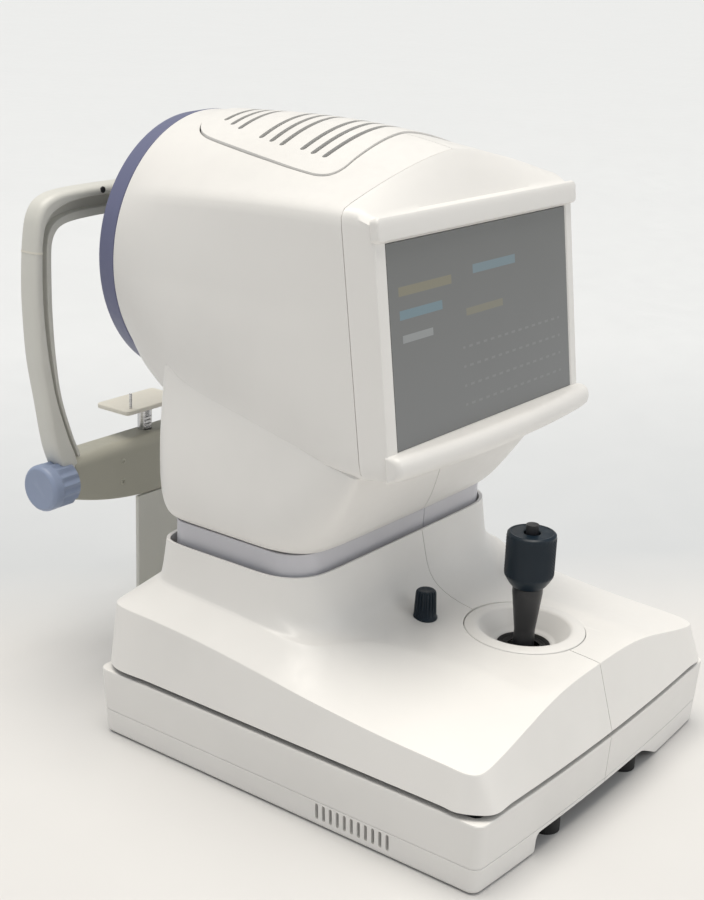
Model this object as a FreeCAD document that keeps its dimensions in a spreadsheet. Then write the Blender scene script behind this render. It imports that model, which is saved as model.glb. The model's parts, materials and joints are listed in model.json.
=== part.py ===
import FreeCAD, Part
import Sketcher
import math
import os
import re

# A table-top eye-measuring instrument: a fixed base with a chin and forehead rest at the
# patient's side (+Y), a joystick stage that carries the upper cover, and a lifting head with a
# screen at the operator's side (-Y).  All lengths are in millimetres, +Z is up, and the origin
# lies on the table under the middle of the whole object.  "Bench" coordinates used below have
# y = 0 at the base's front corners; front_y moves them into the frame of the part.

Vector = FreeCAD.Vector
doc = FreeCAD.newDocument("eye_instrument")

SIZES = {
    # fixed base
    "front_y": -235.0, "base_width": 320.0, "base_depth": 338.0, "front_bow": 5.0,
    "corner_round": 8.0, "wall": 2.5, "shell_bottom": 1.0, "shell_top": 53.0, "shell_taper": 3.0,
    "plate_bottom": 16.0, "plate_thick": 5.0, "foot_radius": 10.0, "deck_thick": 2.0,
    "vent_count": 11.0, "vent_pitch": 5.9, "vent_start": 72.0, "vent_low": 6.0, "vent_high": 18.0,
    # upper cover
    "cover_bottom": 57.5, "cover_lean": 0.317, "side_lean": 0.1, "deck_middle": 105.0,
    "riser_half": 128.0, "riser_front": 176.0, "riser_back": 310.0, "riser_top": 154.0,
    "riser_round": 18.0, "riser_nose": 26.0, "seam_shift": 15.0, "seam_turn": -9.4, "seam_gap": 0.4,
    # joystick and small dial
    "stick_x": 14.0, "stick_y": 79.0, "pivot_height": 80.0, "well_radius": 44.0,
    "well_mouth": 33.0, "well_hole": 21.0, "well_top": 106.0, "well_depth": 13.0,
    "dial_x": -25.0, "dial_y": 140.0, "dial_radius": 8.2, "dial_bottom": 106.5,
    # head
    "head_axis": 342.8, "ring_start": 375.0, "ring_end": 394.0, "ring_front": 104.0,
    "ring_rear": 100.6, "head_lean": 7.5, "screen_half": 110.8, "screen_half_height": 66.9,
    "screen_height": 327.3, "screen_y": 119.9, "bezel_half": 122.7, "head_half": 128.0,
    "neck_bottom": 169.8, "collar_half": 121.0, "collar_bottom": 138.0,
    "vent_half": 97.0, "vent_front": 186.0, "vent_back": 344.0,
    # stage
    "rail_x": 90.0, "rail_width": 14.0, "rail_height": 10.0, "rod_radius": 6.0, "rod_height": 84.0,
    "rod_reach": 100.0, "rod_front": 150.0, "rod_back": 260.0, "run_gap": 0.05,
    "column_radius": 30.0,
    "column_y": 240.0, "screw_radius": 5.0, "screw_x": 62.0,
    # chin and forehead rest
    "rest_front": 429.0, "rest_depth": 24.0, "post_half": 25.5, "post_depth": 4.0,
    "beam_top": 178.0, "beam_middle": 128.3, "beam_end": 143.5, "beam_half": 94.0,
    "arch_depth": 16.0, "arch_top": 388.4,
    "stem_radius": 6.0, "stem_y": 447.0,
    "shaft_y": 437.0, "knob_height": 159.0, "knob_outer": -126.0, "knob_radius": 18.5,
    "pinion_radius": 5.5, "tray_width": 66.0, "tray_depth": 37.0, "tray_bottom": 198.0,
}

sheet = doc.addObject("Spreadsheet::Sheet", "Sizes")
for row, (alias, number) in enumerate(SIZES.items(), start=1):
    sheet.set(f"A{row}", alias)
    sheet.set(f"B{row}", str(number))
    sheet.setAlias(f"B{row}", alias)
doc.recompute()

pieces = []


def expand(expression):
    """Point every name in an expression at its cell of the sheet."""
    return re.sub(r"[a-z][a-z_]*", lambda word: f"Sizes.{word.group(0)}", str(expression))


def size(expression):
    """The number that an expression of sheet names gives."""
    return float(sheet.evalExpression(expand(expression)))


def place(thing, corner):
    """Bind a placement to the sheet, with y measured from the base's front corners."""
    x, y, z = corner
    thing.setExpression("Placement.Base.x", expand(x))
    thing.setExpression("Placement.Base.y", expand(f"{y} + front_y"))
    thing.setExpression("Placement.Base.z", expand(z))


def piece(label, thing):
    """Name a finished sub-part and put it on the list that is written out."""
    thing.Label = label
    pieces.append(thing)
    return thing


def shaped(label, shape):
    """A sub-part whose shape is made by code in bench coordinates."""
    thing = doc.addObject("Part::Feature", label)
    thing.Shape = shape
    bench = FreeCAD.Placement(Vector(0, size("front_y"), 0), FreeCAD.Rotation())
    thing.Placement = bench.multiply(shape.Placement)
    return piece(label, thing)


def box(name, spans, corner):
    thing = doc.addObject("Part::Box", name)
    for side, span in zip(("Length", "Width", "Height"), spans):
        thing.setExpression(side, expand(span))
    place(thing, corner)
    return thing


TURNS = {
    "z": FreeCAD.Rotation(),
    "y": FreeCAD.Rotation(Vector(1, 0, 0), -90),
    "x": FreeCAD.Rotation(Vector(0, 1, 0), 90),
    "-x": FreeCAD.Rotation(Vector(0, 1, 0), -90),
}


def rod(name, radius, length, start, axis="z"):
    thing = doc.addObject("Part::Cylinder", name)
    thing.Placement = FreeCAD.Placement(Vector(), TURNS[axis])
    thing.setExpression("Radius", expand(radius))
    thing.setExpression("Height", expand(length))
    place(thing, start)
    return thing


def joined(name, *parts):
    if len(parts) == 1:
        return parts[0]
    thing = doc.addObject("Part::MultiFuse", name)
    thing.Shapes = list(parts)
    return thing


def cut(name, base, *tools):
    thing = doc.addObject("Part::Cut", name)
    thing.Base = base
    thing.Tool = joined(f"{name}_tools", *tools)
    return thing


def group(name, *parts):
    """Identical pieces that share one node as separate solids."""
    thing = doc.addObject("Part::Compound", name)
    thing.Links = list(parts)
    return thing


def plane(body, role):
    return next(item for item in body.Origin.OriginFeatures if item.Role == role)


def chain(sketch, points):
    """A closed outline of straight lines whose corners are bound to the sheet."""
    numbers = [Vector(size(x), size(y), 0) for x, y in points]
    for start, end in zip(numbers, numbers[1:] + numbers[:1]):
        sketch.addGeometry(Part.LineSegment(start, end), False)
    count = len(points)
    for index in range(count):
        following = (index + 1) % count
        sketch.addConstraint(Sketcher.Constraint("Coincident", index, 2, following, 1))
    for index, (x, y) in enumerate(points):
        for kind, expression, axis in (("DistanceX", x, -2), ("DistanceY", y, -1)):
            number = size(expression)
            if abs(number) < 1e-6:
                sketch.addConstraint(Sketcher.Constraint("PointOnObject", index, 1, axis))
                continue
            pin = sketch.addConstraint(Sketcher.Constraint(kind, -1, 1, index, 1, number))
            sketch.setExpression(f"Constraints[{pin}]", expand(expression))


def body_with_sketch(label, role, points, start, axis="z"):
    body = doc.addObject("PartDesign::Body", label)
    sketch = body.newObject("Sketcher::SketchObject", f"{label}_sketch")
    sketch.AttachmentSupport = [(plane(body, role), "")]
    sketch.MapMode = "FlatFace"
    chain(sketch, points)
    body.Placement = FreeCAD.Placement(Vector(), TURNS[axis])
    place(body, start)
    return body, sketch


def turned(label, points, start, axis="z"):
    """A round sub-part: (radius, height) points turned about its own axis."""
    body, sketch = body_with_sketch(label, "XZ_Plane", points, start, axis)
    turning = body.newObject("PartDesign::Revolution", f"{label}_turning")
    turning.Profile = sketch
    turning.ReferenceAxis = (sketch, ["V_Axis"])
    turning.Angle = 360
    return piece(label, body)


def plate(label, points, thickness, start):
    """A flat sub-part: an outline in plan, padded upwards."""
    body, sketch = body_with_sketch(label, "XY_Plane", points, start)
    pad = body.newObject("PartDesign::Pad", f"{label}_pad")
    pad.Profile = sketch
    pad.setExpression("Length", expand(thickness))
    return body


def rectangle(x, y):
    return [(f"-({x})", "0"), (x, "0"), (x, y), (f"-({x})", y)]


# ---------------------------------------------------------------- shapes made by formula

def wire_between(points, arc_middle=None):
    """Straight edges through the points; the first edge bends through arc_middle."""
    edges = []
    for index, start in enumerate(points):
        end = points[(index + 1) % len(points)]
        if index == 0 and arc_middle is not None:
            edges.append(Part.Arc(start, arc_middle, end).toShape())
        else:
            edges.append(Part.LineSegment(start, end).toShape())
    return Part.Wire(edges)


def base_outline(half, front, back, bow, z):
    """The plan of the base: straight sides and back, front bowed towards the operator."""
    corners = [Vector(-half, front, z), Vector(half, front, z)]
    corners += [Vector(half, back, z), Vector(-half, back, z)]
    return wire_between(corners, Vector(0, front - bow, z))


def upright_edges(shape):
    """Edges that climb the corners of a prism."""
    found = []
    for edge in shape.Edges:
        ends = [vertex.Point for vertex in edge.Vertexes]
        if len(ends) == 2 and abs(ends[0].z - ends[1].z) > 20:
            found.append(edge)
    return found


def tapered_block(lower, upper, corner_round):
    block = Part.makeLoft([lower, upper], True, True)
    return block.makeFillet(corner_round, upright_edges(block))


def rounded_outline(half, front, back, front_round, back_round, z):
    """A rounded rectangle in plan, symmetric about x = 0."""
    def corner(x, y, radius, x_side, y_side):
        centre = Vector(x - x_side * radius, y - y_side * radius, z)
        slant = radius * math.sqrt(0.5)
        middle = centre + Vector(x_side * slant, y_side * slant, 0)
        return (Vector(x, centre.y, z), middle, Vector(centre.x, y, z))
    right_back = corner(half, back, back_round, 1, 1)
    left_back = corner(-half, back, back_round, -1, 1)
    left_front = corner(-half, front, front_round, -1, -1)
    right_front = corner(half, front, front_round, 1, -1)
    path = [right_back, left_back[::-1], left_front, right_front[::-1]]
    edges = []
    for index, arc in enumerate(path):
        edges.append(Part.Arc(*arc).toShape())
        edges.append(Part.LineSegment(arc[2], path[(index + 1) % 4][0]).toShape())
    return Part.Wire(edges)


def slab(x_low, x_high, y_low, y_high, z_low, z_high):
    return Part.makeBox(x_high - x_low, y_high - y_low, z_high - z_low, Vector(x_low, y_low, z_low))


def halves(shape, x=0.0, turn=0.0, pivot_y=0.0):
    """Left and right parts of a shell, with a hairline seam on an upright plane."""
    gap = size("seam_gap") / 2
    left = slab(-400, x - gap, -400, 900, -50, 700)
    right = slab(x + gap, 400, -400, 900, -50, 700)
    for side in (left, right):
        side.rotate(Vector(x, pivot_y, 0), Vector(0, 0, 1), turn)
    return shape.common(left), shape.common(right)


def largest(shape):
    """The biggest solid of a shape, which drops slivers that a cut leaves behind."""
    return max(shape.Solids, key=lambda solid: solid.Volume)


# ---------------------------------------------------------------- fixed base

def base_block(inset, low, high):
    """The lower housing's outside, moved inwards by inset."""
    half = size("base_width") / 2 - inset
    depth, taper = size("base_depth"), size("shell_taper")
    lower = base_outline(half - taper, taper + inset, depth - taper - inset, size("front_bow"), low)
    upper = base_outline(half, inset, depth - inset, size("front_bow"), high)
    return tapered_block(lower, upper, size("corner_round") - inset)


def side_vents():
    """Upright slots low in both side walls."""
    slots = []
    for index in range(int(size("vent_count"))):
        y = size("vent_start") + index * size("vent_pitch")
        slots.append(slab(-170, 170, y - 1.7, y + 1.7, size("vent_low"), size("vent_high")))
    return slots


def front_notch():
    """The arch under the front skirt, upright at its left end and slanted at its right."""
    points = [Vector(-90, -20, -5), Vector(-90, -20, 13), Vector(-84, -20, 18), Vector(50, -20, 16)]
    points += [Vector(60, -20, 12), Vector(92, -20, -5)]
    return Part.Face(wire_between(points)).extrude(Vector(0, 40, 0))


def lower_shells():
    bottom, top = size("shell_bottom"), size("shell_top")
    outer = base_block(0, bottom, top)
    shell = outer.cut(base_block(size("wall"), bottom, top))
    band = slab(-200, 200, -50, 400, 19.4, 20.6).cut(base_block(0.7, bottom, top))
    bracket_way = slab(-41, 41, 300, 360, -5, 31)
    inlet_way = slab(70, 98, 300, 360, 24, 45)
    switch_way = slab(104, 118, 300, 360, 24, 45)
    shell = shell.cut([band, front_notch(), bracket_way, inlet_way, switch_way] + side_vents())
    left, right = halves(shell)
    shaped("lower_shell_left", left)
    shaped("lower_shell_right", right)


def base_frame():
    floor = plate("base_plate", rectangle("base_width / 2 - 10", "base_depth - 20"), "plate_thick",
                  ("0", "10", "plate_bottom"))
    piece("base_plate", floor)
    deck = box("deck_sheet", ("base_width - 24", "base_depth - 24", "deck_thick"),
               ("12 - base_width / 2", "12", "shell_top - deck_thick - 1"))
    piece("base_deck", deck)
    legs = []
    for x in ("-130", "130"):
        for y in ("60", "280"):
            top = "shell_top - deck_thick - 1 - plate_bottom - plate_thick"
            legs.append(rod("deck_leg", "5", top, (x, y, "plate_bottom + plate_thick")))
    piece("deck_pillars", group("deck_pillars", *legs))
    feet = []
    screws = []
    for x, y in (("-55", "12"), ("55", "12"), ("-120", "300"), ("120", "300")):
        collar = rod("foot_body", "foot_radius", "plate_bottom", (x, y, "0"))
        bore = rod("foot_bore", "5", "plate_bottom - 5", (x, y, "5"))
        feet.append(cut("foot", collar, bore))
        screws.append(rod("foot_screw", "4.9", "plate_bottom - 5.2", (x, y, "5.1")))
    piece("rubber_feet", group("rubber_feet", *feet))
    piece("foot_screws", group("foot_screws", *screws))


def base_electrics():
    supply = box("supply_box", ("90", "130", "26"), ("-140", "90", "plate_bottom + plate_thick"))
    piece("power_supply", supply)
    board = box("board_sheet", ("100", "150", "1.6"), ("20", "60", "plate_bottom + plate_thick + 6"))
    piece("stage_control_board", board)
    body = box("inlet_body", ("27.4", "20", "20.4"), ("70.3", "base_depth - 20", "24.3"))
    mouth = box("inlet_mouth", ("22", "16", "15"), ("73", "base_depth - 14", "27"))
    piece("power_inlet", cut("power_inlet", body, mouth))
    frame = box("switch_body", ("13.4", "18", "20.4"), ("104.3", "base_depth - 19", "24.3"))
    hollow = box("switch_hollow", ("9.4", "16", "16.4"), ("106.3", "base_depth - 15", "26.3"))
    piece("switch_frame", cut("switch_frame", frame, hollow))
    turned("power_switch", [("0", "0"), ("7", "0"), ("7", "9"), ("0", "9")],
           ("106.5", "base_depth - 5.6", "34.5"), "x")


def fixed_rails():
    height = "shell_top - 1"
    rails = [box("y_rail", ("rail_width", "200", "rail_height"), (f"{x} - rail_width / 2", "98", height))
             for x in ("-rail_x", "rail_x")]
    piece("fore_aft_rails", group("fore_aft_rails", *rails))
    pad = box("pad_sheet", ("130", "90", "2"), ("stick_x - 65", "stick_y - 45", height))
    piece("friction_pad", pad)


# ---------------------------------------------------------------- stage

def y_carriage():
    """Bridge that runs fore and aft on the two fixed rails and holds the cross rods."""
    rail_top = "shell_top - 1 + rail_height"
    deck = box("y_deck", ("2 * rail_x + 36", "150", "4"), ("-rail_x - 18", "130", f"{rail_top} + 1"))
    parts = [deck]
    for x in ("-rail_x", "rail_x"):
        for y in ("130", "245"):
            block = box("runner", ("rail_width + 14", "35", "9"),
                        (f"{x} - rail_width / 2 - 7", y, "shell_top + 1"))
            corner = (f"{x} - rail_width / 2 - run_gap", f"{y} - 2", f"{rail_top} + run_gap - rail_height")
            channel = box("channel", ("rail_width + 2 * run_gap", "40", "rail_height"), corner)
            parts.append(cut("runner_cut", block, channel))
    for x in ("-rod_reach", "rod_reach - 8"):
        for y in ("rod_front", "rod_back"):
            ear = box("rod_ear", ("8", "24", "25"), (x, f"{y} - 12", f"{rail_top} + 4"))
            parts.append(ear)
    whole = joined("y_bridge", *parts)
    bores = [rod("rod_bore", "rod_radius", "300", ("-150", y, "rod_height"), "x")
             for y in ("rod_front", "rod_back")]
    piece("y_carriage", cut("y_carriage", whole, *bores))
    rods = [rod("cross_rod", "rod_radius", "2 * rod_reach", ("-rod_reach", y, "rod_height"), "x")
            for y in ("rod_front", "rod_back")]
    piece("cross_rods", group("cross_rods", *rods))


def x_carriage():
    """Block that slides sideways on the cross rods; the column, cover and joystick stand on it."""
    block = box("x_block", ("100", "140", "22"), ("-50", "135", "rod_height - 12"))
    arm = box("stick_arm", ("56", "95", "4"), ("stick_x - 28", "stick_y - 28", "rod_height - 10"))
    hole = rod("stick_hole", "20", "10", ("stick_x", "stick_y", "rod_height - 13"))
    bores = [rod("slide_bore", "rod_radius + run_gap", "300", ("-150", y, "rod_height"), "x")
             for y in ("rod_front", "rod_back")]
    wings = [box("cover_wing", ("72", "30", "4"), (x, "190", "rod_height + 4")) for x in ("-120", "48")]
    whole = joined("x_whole", block, arm, *wings)
    piece("x_carriage", cut("x_carriage", whole, hole, *bores))
    tube = rod("column_outside", "column_radius", "130", ("0", "column_y", "rod_height + 10"))
    inside = rod("column_inside", "column_radius - 4", "130", ("0", "column_y", "rod_height + 10"))
    piece("lift_column", cut("lift_column", tube, inside))


# ---------------------------------------------------------------- upper cover

def deck_section(y, side, middle, drop):
    """Cross-section of the crowned deck at one station along y."""
    half = 172.0
    edge = side - 0.25 * (middle - side) - drop
    corners = [Vector(-half, y, edge), Vector(half, y, edge), Vector(half, y, 40), Vector(-half, y, 40)]
    return wire_between(corners, Vector(0, y, middle - drop))


def cover_solid(inset):
    """Deck and riser of the upper cover as one solid, moved inwards by inset."""
    half, depth, bow = size("base_width") / 2 - inset, size("base_depth"), size("front_bow")
    low, high = size("cover_bottom"), 130.0
    rise = high - low
    lower = base_outline(half, inset, depth - inset, bow, low)
    upper = base_outline(half - rise * size("side_lean"), inset + rise * size("cover_lean"),
                         depth - inset - rise * size("side_lean"), bow, high)
    walls = tapered_block(lower, upper, size("corner_round") - inset)
    middle = size("deck_middle")
    stations = [(-30, 88, middle - 1), (60, 86, middle), (160, 93, middle + 2), (250, 101, middle + 9),
                (360, 104, middle + 12)]
    sections = [deck_section(y, side, top, inset) for y, side, top in stations]
    deck = Part.makeLoft(sections, True, False)
    riser_half, front, back = size("riser_half") - inset, size("riser_front"), size("riser_back")
    near, far = size("riser_nose") - inset, size("riser_round") - inset
    foot = rounded_outline(riser_half + 4, front - 11 + inset, back + 2 - inset, near + 4, far, 90)
    top = rounded_outline(riser_half, front + inset, back - inset, near, far, size("riser_top"))
    riser = Part.makeLoft([foot, top], True, True)
    return walls.common(deck).fuse(riser).removeSplitter()


def upper_cover():
    wall = size("wall")
    shell = cover_solid(0).cut(cover_solid(wall))
    stick = Vector(size("stick_x"), size("stick_y"), 60)
    well = Part.makeCylinder(size("well_radius") + 0.3, 80, stick)
    dial = Part.makeCylinder(3.2, 60, Vector(size("dial_x"), size("dial_y"), 80))
    shell = shell.cut([well, dial])
    left, right = halves(shell, size("seam_shift"), size("seam_turn"), 88)
    shaped("upper_cover_left", left)
    shaped("upper_cover_right", right)


def joystick_well():
    """Dished ring in the deck round the joystick."""
    wall = size("wall")
    top, depth = size("well_top"), size("well_depth")
    outer, mouth, hole = size("well_radius"), size("well_mouth"), size("well_hole")
    points = [(outer, -6), (outer, 0), (mouth, 0), (hole, -depth), (hole, -depth - wall),
              (mouth - 1, -wall), (outer - wall, -wall), (outer - wall, -6)]
    start = Vector(size("stick_x"), size("stick_y"), top)
    profile = Part.Face(wire_between([start + Vector(radius, 0, height) for radius, height in points]))
    shaped("joystick_well", profile.revolve(start, Vector(0, 0, 1), 360))


def joystick():
    x, y, pivot = "stick_x", "stick_y", "pivot_height"
    seat = [("11", "0"), ("16.5", "0"), ("16.5", "10"), ("11", "10")]
    turned("joystick_gimbal", seat, (x, y, f"{pivot} - 5"))
    stick = [("0", "0"), ("3", "0.5"), ("5", "2.5"), ("8", "6"), ("8", "30"), ("7.6", "33"), ("7.6", "50"),
             ("11", "79"), ("11", "83.5"), ("6", "83.5"), ("6", "120.5"), ("4.9", "120.5"), ("4.9", "111.5"),
             ("0", "111.5")]
    turned("joystick_stick", stick, (x, y, "54.2"))
    grip = [("6.1", "0"), ("11.5", "0"), ("16.8", "8"), ("18", "12"), ("18", "38"), ("17.4", "41"),
            ("6.1", "41")]
    turned("joystick_grip", grip, (x, y, "138.5"))
    button = [("0", "0"), ("4.6", "0"), ("4.6", "16"), ("0", "16")]
    turned("joystick_button", button, (x, y, "169"))


def dial():
    points = [("0", "0"), ("3", "0"), ("3", "12"), ("9.4", "12"), ("9.4", "14"), ("dial_radius", "15"),
              ("dial_radius - 0.8", "33"), ("dial_radius - 1.6", "34"), ("0", "34")]
    turned("brightness_dial", points, ("dial_x", "dial_y", "dial_bottom - 11"))


# ---------------------------------------------------------------- head

def head_section(y, half, top, bottom, top_power, bottom_power, lean):
    """Closed smooth outline about the head's axis: a rounded arch above, a boxier belly below."""
    points = []
    count = 48
    for index in range(count):
        angle = 2 * math.pi * (index + 0.5) / count
        across, up = math.cos(angle), math.sin(angle)
        reach = top if up > 0 else bottom
        power = top_power if up > 0 else bottom_power
        radius = (abs(across / half) ** power + abs(up / reach) ** power) ** (-1 / power)
        z = radius * up
        points.append(Vector(radius * across, y + z * math.tan(math.radians(lean)), size("head_axis") + z))
    curve = Part.BSplineCurve()
    curve.interpolate(points, PeriodicFlag=True)
    return Part.Wire([curve.toShape()])


def barrel_solid(grow):
    """The head's long body, from the screen frame's seam to the round patient end."""
    lean = size("head_lean")
    radius = size("ring_front")
    stations = [(141, 128, 98, 106, 2.8, 8, lean), (200, 127.5, 103, 106, 2.7, 6, lean * 0.7),
                (265, 124, 106, 106, 2.5, 4.5, lean * 0.4), (330, 114, 105.5, 106, 2.2, 3, lean * 0.1)]
    wires = [head_section(y, half + grow, top + grow, bottom + grow, up, down, tilt)
             for y, half, top, bottom, up, down, tilt in stations]
    end = radius + grow
    wires.append(head_section(size("ring_start"), end, end, end, 2, 2, 0))
    return Part.makeLoft(wires, True, False)


def bezel_solid(grow):
    """The screen frame's outside, from its flat front to the seam with the barrel."""
    lean = size("head_lean")
    front = head_section(116.5, size("bezel_half") + grow, 69 + grow, 98 + grow, 16, 16, lean)
    middle = head_section(124, size("bezel_half") + 3 + grow, 79 + grow, 103 + grow, 6, 12, lean)
    seam = head_section(140.6, size("head_half") + grow, 98 + grow, 106 + grow, 2.8, 8, lean)
    return Part.makeLoft([front, middle, seam], True, False)


def screen_frame_box(half, half_height, front, back):
    """A box in the leaning plane of the screen; front and back are distances from the glass."""
    block = slab(-half, half, front, back, -half_height, half_height)
    block.rotate(Vector(0, 0, 0), Vector(1, 0, 0), -size("head_lean"))
    block.translate(Vector(0, size("screen_y"), size("screen_height")))
    return block


def bezel():
    outer = bezel_solid(0)
    inner = bezel_solid(-size("wall"))
    lip_top, lip_bottom = 259.0, 243.5
    plan = base_outline(124, 109, 118, 13, lip_bottom)
    lip = Part.Face(plan).extrude(Vector(0, 0, lip_top - lip_bottom))
    front_edges = [edge for edge in lip.Edges if edge.BoundBox.YMin < 100 and edge.BoundBox.XLength > 100]
    lip = lip.makeFillet(6, front_edges)
    opening = screen_frame_box(size("screen_half"), size("screen_half_height"), -30, 60)
    hollow = inner.cut(screen_frame_box(140, 120, -60, 5))
    frame = outer.fuse(lip).cut(hollow).cut(opening)
    shaped("screen_bezel", largest(frame))
    glass = screen_frame_box(size("screen_half") - 0.2, size("screen_half_height") - 0.2, 0, 3)
    shaped("screen_glass", glass)
    panel = screen_frame_box(size("screen_half") - 4, size("screen_half_height") - 4, 3, 10)
    shaped("display_panel", panel)


def vent_prism(inset):
    """Outline of the top vent cover in plan, narrower at the back, as a tall prism."""
    near, far = size("vent_half") - inset, size("vent_half") * 0.68 - inset
    front, back = size("vent_front") + inset, size("vent_back") - inset
    corners = [Vector(-near, front, 380), Vector(near, front, 380)]
    corners += [Vector(far, back, 380), Vector(-far, back, 380)]
    prism = Part.Face(wire_between(corners)).extrude(Vector(0, 0, 90))
    return prism.makeFillet(22 - inset, upright_edges(prism))


def vent_slots():
    """Nine slots across the crown, in three groups of three."""
    slots = []
    for group_y in (208, 251, 300):
        for step in range(3):
            y = group_y + 11.5 * step
            slots.append(slab(-72 + 6 * step, 72 - 6 * step, y - 1.8, y + 1.8, 400, 470))
    return slots


def barrel():
    wall = size("wall")
    shell = barrel_solid(0).cut(barrel_solid(-wall))
    open_front = slab(-200, 200, 60, 128, 200, 500)
    neck_way = slab(-95, 95, 165, 325, 200, 262)
    shell = shell.cut([open_front, vent_prism(-0.4), neck_way])
    left, right = halves(shell)
    shaped("head_shell_left", left)
    shaped("head_shell_right", right)
    lid = barrel_solid(0.8).cut(barrel_solid(-wall)).common(vent_prism(0))
    lid = lid.cut(vent_slots())
    shaped("top_vent_cover", largest(lid))


def neck_solid(inset):
    """Neck block below the barrel: tucked in at the rim, reaching forward under the screen."""
    rows = [(size("neck_bottom"), 119, 181, 308.5, 26, 17), (180, 126, 175, 319, 28, 19),
            (200, 128, 160, 322.5, 29, 20), (238, 128, 134, 322.7, 32, 21), (300, 118, 134, 323, 36, 30)]
    wires = [rounded_outline(half - inset, front + inset, back - inset, near - inset, far - inset, z)
             for z, half, front, back, near, far in rows]
    return Part.makeLoft(wires, True, True)


def neck():
    wall = size("wall")
    body = neck_solid(0).cut(neck_solid(wall))
    body = body.cut([barrel_solid(0.1), bezel_solid(0.1), slab(-200, 200, 0, 400, 292, 400)])
    left, right = halves(body)
    shaped("neck_shell_left", largest(left))
    shaped("neck_shell_right", largest(right))
    half, low = size("collar_half"), size("collar_bottom")
    high = size("neck_bottom") - 0.3
    front, back, near, far = 182, 303, 24, 14
    outside = Part.Face(rounded_outline(half, front, back, near, far, low)).extrude(Vector(0, 0, high - low))
    inside = Part.Face(rounded_outline(half - wall, front + wall, back - wall, near - wall, far - wall, low))
    shaped("neck_collar", outside.cut(inside.extrude(Vector(0, 0, high - low))))


def patient_end():
    """Blue-grey ring, dished ring-pattern cone and the optics behind it."""
    axis = ("0", "ring_start", "head_axis")
    ring = [("96", "0.3"), ("ring_front", "0.3"), ("ring_rear", "ring_end - ring_start"),
            ("94", "ring_end - ring_start"), ("94", "ring_end - ring_start - 4"),
            ("96", "ring_end - ring_start - 5")]
    turned("patient_end_ring", ring, axis, "y")
    face = [("74", "0"), ("93.7", "0"), ("93.7", "4"), ("76", "4")]
    turned("patient_face", face, ("0", "ring_end - 7", "head_axis"), "y")
    cone = [("24", "0"), ("73.7", "44"), ("75.7", "48"), ("72.5", "48"), ("21", "3"), ("21", "0")]
    turned("ring_pattern_cone", cone, ("0", "ring_end - 51", "head_axis"), "y")
    tube = [("16", "0"), ("20.5", "0"), ("20.5", "96"), ("16", "96")]
    turned("objective_barrel", tube, ("0", "ring_end - 140", "head_axis"), "y")
    lens = [("0", "0"), ("15.8", "0"), ("15.8", "4"), ("9", "7"), ("0", "8")]
    turned("objective_lens", lens, ("0", "ring_end - 60", "head_axis"), "y")
    board = [("32", "0"), ("70", "0"), ("70", "1.6"), ("32", "1.6")]
    turned("ring_light_board", board, ("0", "ring_end - 56", "head_axis"), "y")


def head_inside():
    floor = box("chassis_floor", ("150", "145", "5"), ("-75", "170", "250"))
    passage = rod("chassis_way", "column_radius + run_gap", "140", ("0", "column_y", "150"))
    sleeve = rod("chassis_sleeve", "column_radius + 6", "85", ("0", "column_y", "168"))
    spine = box("chassis_spine", ("120", "5", "55"), ("-60", "280", "255"))
    shelf = box("chassis_shelf", ("120", "120", "5"), ("-60", "165", "305"))
    whole = joined("chassis_whole", floor, sleeve, spine, shelf)
    nut_way = rod("nut_way", "9", "20", ("screw_x", "column_y", "245"))
    piece("head_chassis", cut("head_chassis", whole, passage, nut_way))
    nut = rod("nut_body", "8.9", "16", ("screw_x", "column_y", "240"))
    thread = rod("nut_thread", "screw_radius + run_gap", "30", ("screw_x", "column_y", "235"))
    piece("lift_nut", cut("lift_nut", nut, thread))
    piece("optics_block", box("optics_block", ("70", "75", "50"), ("-35", "178", "head_axis - 32")))
    piece("computer_board", box("computer_board", ("130", "2", "90"), ("-65", "156", "290")))


def lift_drive():
    screw = [("0", "0"), ("screw_radius", "0"), ("screw_radius", "150"), ("0", "150")]
    turned("lift_screw", screw, ("screw_x", "column_y", "rod_height + 35.2"))
    case = box("motor_case", ("26", "26", "25"), ("screw_x - 13", "column_y - 13", "rod_height + 10"))
    foot = box("motor_foot", ("26", "26", "8"), ("screw_x - 13", "column_y - 13", "rod_height + 2"))
    piece("lift_motor", cut("lift_motor", case, foot))


def chin_rest():
    bar = box("bracket_bar", ("60", "190", "8"),
              ("-30", "rest_front + post_depth - 190", "plate_bottom + plate_thick"))
    piece("chinrest_bracket", bar)
    post = box("post_block", ("2 * post_half", "post_depth", "99.2"),
               ("-post_half", "rest_front", "plate_bottom + plate_thick + 8"))
    piece("chinrest_post", post)
    front, back = size("rest_front"), size("rest_front") + size("rest_depth")
    low, top = size("beam_middle"), size("beam_top")
    end, end_low = size("beam_half"), size("beam_end")
    lower = [Vector(-end, front, end_low), Vector(end, front, end_low)]
    lower += [Vector(end, front, top), Vector(-end, front, top)]
    profile = wire_between(lower, Vector(0, front, low))
    beam = Part.Face(profile).extrude(Vector(0, back - front, 0))
    stem_way = Part.makeCylinder(size("stem_radius") + 0.05, 90, Vector(0, size("stem_y"), 110))
    height = size("knob_height")
    shaft_way = Part.makeCylinder(4.05, 120, Vector(-100, size("shaft_y"), height), Vector(1, 0, 0))
    pocket = slab(-7, 7, size("shaft_y") - 7, size("stem_y"), height - 8, height + 8)
    shaped("chinrest_beam", beam.cut([stem_way, shaft_way, pocket]))
    arch()
    tray()
    chin_drive()


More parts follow.
